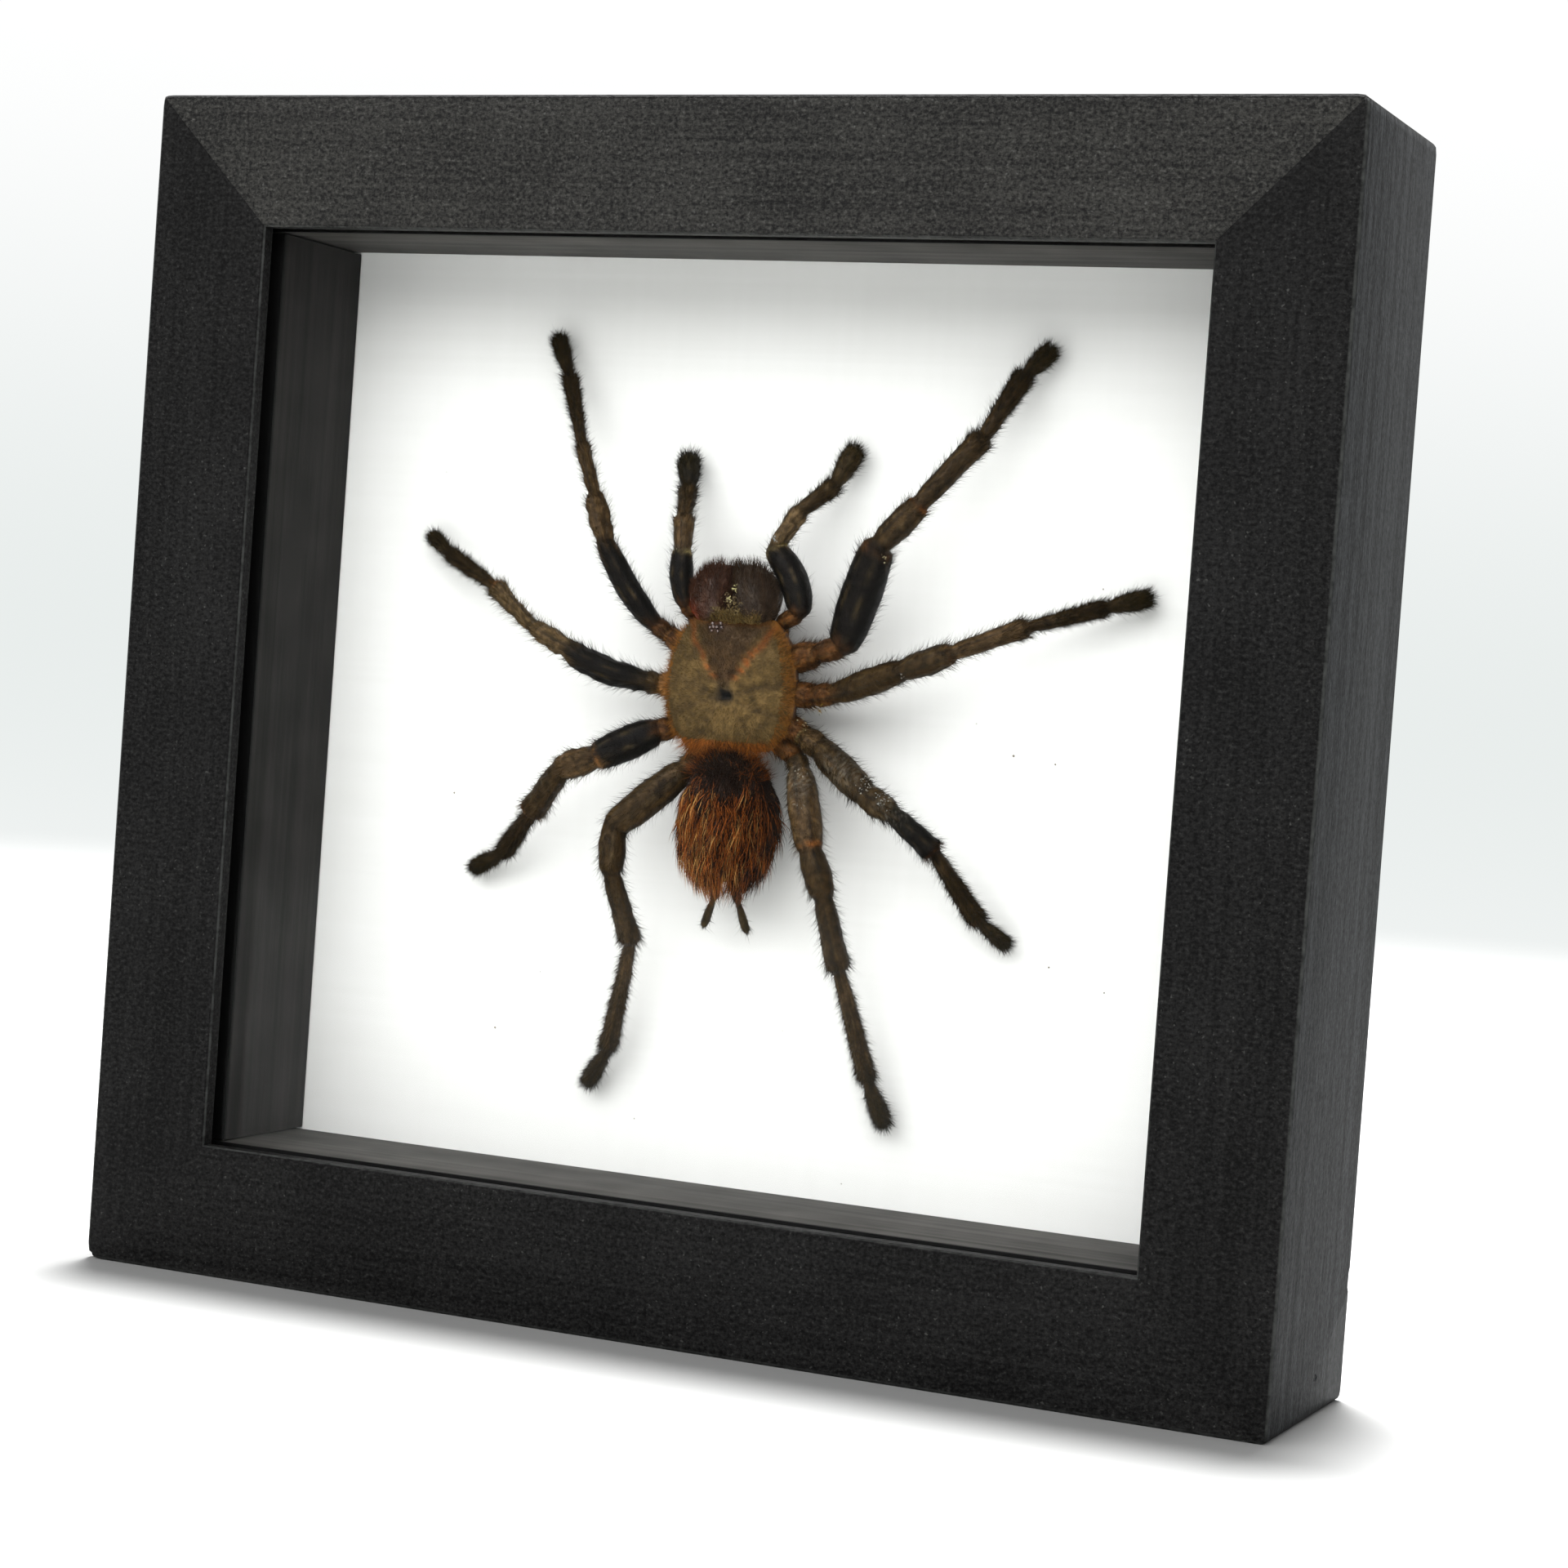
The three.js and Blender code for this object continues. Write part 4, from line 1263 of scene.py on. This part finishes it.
def locks(count):
    """Long bristles in locks: each leans towards the tip of the nearest lock's own bristle."""
    turn = draw.uniform(-2.1, 2.1, count)
    z = 71 + 18.2 * draw.uniform(0, 1, count) ** 0.85
    lock_turn, lock_z = draw.uniform(-2.2, 2.2, LOCKS), draw.uniform(70.5, 90, LOCKS)
    apart = (turn[:, None] - lock_turn) * 6.0
    nearest = np.argmin(apart**2 + ((z[:, None] - lock_z) * 0.8) ** 2, axis=1)
    roots = abdomen_point(z, turn)
    out = off_abdomen(roots, z)
    pull = abdomen_point(lock_z[nearest], lock_turn[nearest]) - roots
    lock_way = draw.normal(0, 0.18, (LOCKS, 3))
    ending = ramp(z, 80, 72)
    side = np.stack([-np.sin(turn) * (0.28 + 0.12 * ending), 0 * turn, 0 * turn], axis=-1)
    combed = out * (0.46 - 0.2 * ending)[:, None] + [0.05, 0, -0.95] + side
    ways = tossed(combed + lock_way[nearest] * [1.2, 0.5, 0.6] + pull / (3.2 * MM) * 0.55, 0.16)
    lock_tone = draw.uniform(0, 1, LOCKS)[nearest] * 0.34 + draw.uniform(0, 1, count) * 0.66
    front = ramp(z + 1.3 * np.sin(4.3 * turn), 84, 87.5) * bell(turn - 0.1, 0.8)
    lock_tone = lock_tone - 0.75 * front - 0.22 * np.clip(turn - 0.3, 0, 1)
    # The gold locks are partly pale hair and partly painted highlight on the locks.
    rust, gold, dark = ink(200, 110, 46), ink(250, 186, 104), ink(44, 28, 17)
    shades = np.where((lock_tone > 0.4)[:, None], rust, dark)
    shades = np.where((lock_tone > 0.71)[:, None], gold, shades)
    shades = shades * draw.uniform(0.35, 1.25, (count, 1))
    lengths = draw.uniform(2.4, 5, count) * (1 - 0.5 * front)
    return hairs(roots, ways, lengths, 0.13, shades, [0, 0, -0.15] - out * 0.3)


def underfur(count):
    """Short dark fur that lies back under the locks."""
    turn, z = draw.uniform(-3.1, 3.1, count), draw.uniform(70.8, 90.6, count)
    roots = abdomen_point(z, turn)
    ways = tossed(off_abdomen(roots, z) * 0.6 + [0.1, 0, -0.9], 0.25)
    shades = FUR_BROWN * draw.uniform(0.5, 1.5, (count, 1))
    return hairs(roots, ways, draw.uniform(0.8, 1.5, count), 0.1, shades)


def waist(count):
    """Dark and rusty hair that fills the gap between the abdomen and the carapace."""
    turn, z = draw.uniform(-1.9, 1.9, count), draw.uniform(86.5, 91, count)
    forwards = np.stack([np.sin(turn) * 0.8, -0.55 + 0 * turn, 0.5 + 0 * turn], axis=-1)
    ways = tossed(forwards, 0.4)
    rusty = (draw.uniform(0, 1, count) < 0.03 + 0.5 * np.abs(np.sin(turn)) ** 3)[:, None]
    shades = np.where(rusty, ink(172, 96, 38), ink(50, 34, 22)) * draw.uniform(0.5, 1.3, (count, 1))
    return hairs(abdomen_point(z, turn), ways, draw.uniform(1.2, 2.8, count), 0.1, shades)


z, turn = grid(np.linspace(ABDOMEN_Z[0], ABDOMEN_Z[-1], 46), sides=56, start=-math.pi)
abdomen = skin_of_rings(
    "abdomen_skin", abdomen_point(z, turn), np.broadcast_to(FUR_BROWN, (*z.shape, 3))
)
rump_cuticle = dried_shell(
    "abdomen cuticle", roughness=0.6, coat=0.1, mottle_mm=1.6, relief_mm=0.15
)
fit_piece(abdomen, rump_cuticle, "abdomen_bristles", "abdomen")
rust_hair = hair_finish("rust bristle", roughness=0.42)
grow("abdomen_bristles", [locks(9000)], rust_hair, "abdomen_bristles", steps=3)
grow("abdomen_underfur", [underfur(9000), waist(1500)], rust_hair, "abdomen_bristles")


# ---- Spinnerets ----
# Two finger-like silk spinners of two joints each that trail from the end of the abdomen.

SPINNERETS = {
    "spinneret_left": [(-4.4, 62.6), (-2.2, 67.6), (-1, 71)],
    "spinneret_right": [(3.3, 62.3), (1.9, 67.4), (1.4, 71)],
}
for name, path in SPINNERETS.items():
    spinner = limb(path, [6, 7.4, 9], [0.72, 0.88], [UMBER, UMBER], [0.1, 0.1])
    dress_limb(name, spinner, pile=600, bristles=24)


# ---- Dust and crumbs ----
# Flakes of old glue, fluff and dried membrane that cling to the legs and jaws.

# Each patch: its middle as x, z and height in mm, spread, number of crumbs, their size and colour.
PATCHES = [
    ([12.7, 96.2, 11.2], 0.9, 16, 0.34, (222, 206, 160)),
    ([30.2, 104.4, 15.6], 0.45, 5, 0.34, (214, 212, 204)),
    ([14.8, 98.6, 10.6], 1.0, 22, 0.4, (176, 138, 52)),
    ([26, 87.6, 16.2], 1.8, 40, 0.32, (206, 204, 196)),
    ([28.6, 85.4, 15.8], 1.5, 34, 0.34, (196, 198, 194)),
    ([-10.4, 111.4, 11.2], 0.7, 12, 0.28, (232, 230, 222)),
    ([1.7, 116.2, 16.4], 0.5, 12, 0.5, (222, 212, 150)),
    ([0.9, 114.4, 16.3], 0.4, 9, 0.44, (206, 194, 140)),
    ([-1.4, 112.8, 15.7], 1.2, 40, 0.4, (140, 118, 72)),
    ([1.7, 113, 16.1], 1.3, 60, 0.42, (142, 120, 72)),
    ([4.6, 112.6, 15.2], 0.8, 20, 0.34, (120, 86, 46)),
    ([6.4, 124.2, 13.2], 0.5, 9, 0.5, (170, 178, 182)),
    ([15.1, 88.9, 16.3], 0.9, 14, 0.3, (188, 182, 170)),
    ([14.4, 83.6, 15.9], 1.2, 16, 0.26, (170, 166, 158)),
    ([25.9, 122.4, 15.4], 0.5, 8, 0.36, (226, 208, 160)),
    ([-10.6, 122, 12.6], 0.2, 3, 0.26, (230, 222, 196)),
    ([-7.9, 122.3, 12.2], 0.2, 3, 0.26, (236, 232, 214)),
    ([0.5, 114.5, 15.2], 1.0, 70, 0.45, (120, 100, 64)),
]


def crumb_finish():
    paint = Paint("dust and crumbs", Specular_IOR_Level=0.35)
    grain = paint.place.noise(2500, 2.0)
    shade = paint.point_colours()
    return paint.finish(
        Base_Color=grain.tint(shade.times(0.6, 0.57, 0.5), shade), Roughness=0.5 + 0.3 * grain
    )


def crumbs():
    """Small four-sided flakes scattered in patches, joined in one mesh."""
    corners, shades = [], []
    for middle, spread, count, size, tone in PATCHES:
        for _ in range(count):
            place = over_card(*(np.array(middle) + draw.normal(0, 0.5, 3) * spread * [1, 1, 0.4]))
            stretch = np.array([1, 0.6, 1]) * draw.uniform(0.5, 1.3)
            flake = unit(draw.normal(0, 1, (4, 3))) * size / 2 * MM * stretch
            corners.append(place + flake)
            shades.append(ink(*tone) * draw.uniform(0.6, 1.2) * np.ones((4, 1)))
    faces = [(4 * k + a, 4 * k + b, 4 * k + c) for k in range(len(corners))
             for a, b, c in ((0, 1, 2), (0, 2, 3), (0, 3, 1), (1, 3, 2))]
    piece = coloured_piece("crumbs", np.concatenate(corners), faces, np.concatenate(shades))
    turn_outwards(piece)
    return piece


fit_piece(crumbs(), crumb_finish(), "spider_shell")


# ---- Glue ----
# Two clear drops under the body hold the spider to the card.


def clear_glue():
    paint = Paint("dried glue", Transmission_Weight=0.75, IOR=1.47)
    cloud = paint.place.noise(300, 3.0)
    return paint.finish(
        Base_Color=cloud.tint((0.85, 0.8, 0.62), (0.95, 0.93, 0.85)), Roughness=0.1 + 0.25 * cloud
    )


glue = clear_glue()
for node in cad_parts:
    if node.startswith("glue"):
        refinish(node, glue)


# ---- Floor, light and camera ----
# White paper under one broad lamp in front and one overhead, in a room that is dark in front.


def paper():
    """White paper that fades out about a metre from the frame, where the backdrop takes over."""
    paint = Paint("white paper", Roughness=0.9, Specular_IOR_Level=0.1)
    from_middle = paint.place.node("VectorMath", {"operation": "LENGTH"}, {0: paint.place}, 1)
    return paint.finish(
        Base_Color=paint.place.noise(8, 3.0).tint((0.198, 0.2, 0.198), (0.206, 0.206, 0.204)),
        Alpha=1 - from_middle.between(0.75, 1.25),
    )


bpy.ops.object.select_all(action="DESELECT")
bpy.ops.mesh.primitive_plane_add(size=8, location=(0, 0, 0))
floor = bpy.context.object
floor.name = "floor"
floor.data.materials.append(paper())

MIDDLE = Vector((0, 0, 0.09))


def soft_box(name, centre, width, height, watts):
    """An oval lamp that points at the middle of the frame."""
    lamp = bpy.data.lights.new(name, "AREA")
    lamp.shape = "ELLIPSE"
    lamp.size = width
    lamp.size_y = height
    lamp.energy = watts
    box = bpy.data.objects.new(name, lamp)
    box.location = centre
    box.rotation_mode = "QUATERNION"
    box.rotation_quaternion = (MIDDLE - Vector(centre)).to_track_quat("-Z", "Y")
    bpy.context.scene.collection.objects.link(box)


soft_box("key_light", (-0.1, -1.15, 0.9), width=3.4, height=1.15, watts=38)
soft_box("top_light", (-0.085, 0.27, 2.5), width=0.42, height=0.42, watts=446)


def studio_world():
    world = bpy.data.worlds.new("studio")
    world.use_nodes = True
    tree = world.node_tree
    background = tree.nodes["Background"]
    coordinates = tree.nodes.new("ShaderNodeTexCoord")
    way = Signal(tree, coordinates.outputs["Generated"])
    height = way.axis("Z").maths("ABSOLUTE")
    sky = height.between(0.0, 0.2).tint((0.8, 0.835, 0.825), (1.0, 1.0, 1.0))
    front = 1 - 0.6 * (1 - way.axis("Y").between(-0.6, 0.2))
    tree.links.new(front.tint((0, 0, 0), sky).socket, background.inputs["Color"])
    background.inputs["Strength"].default_value = 1.02
    return world


scene = bpy.context.scene
scene.world = studio_world()
scene.view_settings.view_transform = "Standard"
scene.view_settings.look = "None"

CAMERA_AT = (0.22779, -0.49577, 0.10327)
FOCAL_LENGTH = 79.881
CAMERA_AZIMUTH, CAMERA_ELEVATION, CAMERA_ROLL = 23.7368, 1.7752, 4.1368

swing, rise = math.radians(CAMERA_AZIMUTH), math.radians(CAMERA_ELEVATION)
aim = Vector(
    (-math.sin(swing) * math.cos(rise), math.cos(swing) * math.cos(rise), -math.sin(rise))
)
lens = bpy.data.cameras.new("camera")
lens.lens = FOCAL_LENGTH
lens.sensor_width = 36
lens.clip_start = 0.01
camera = bpy.data.objects.new("camera", lens)
camera.location = CAMERA_AT
camera.rotation_mode = "QUATERNION"
camera.rotation_quaternion = aim.to_track_quat("-Z", "Y") @ Quaternion(
    (0, 0, 1), math.radians(CAMERA_ROLL)
)
scene.collection.objects.link(camera)
scene.camera = camera
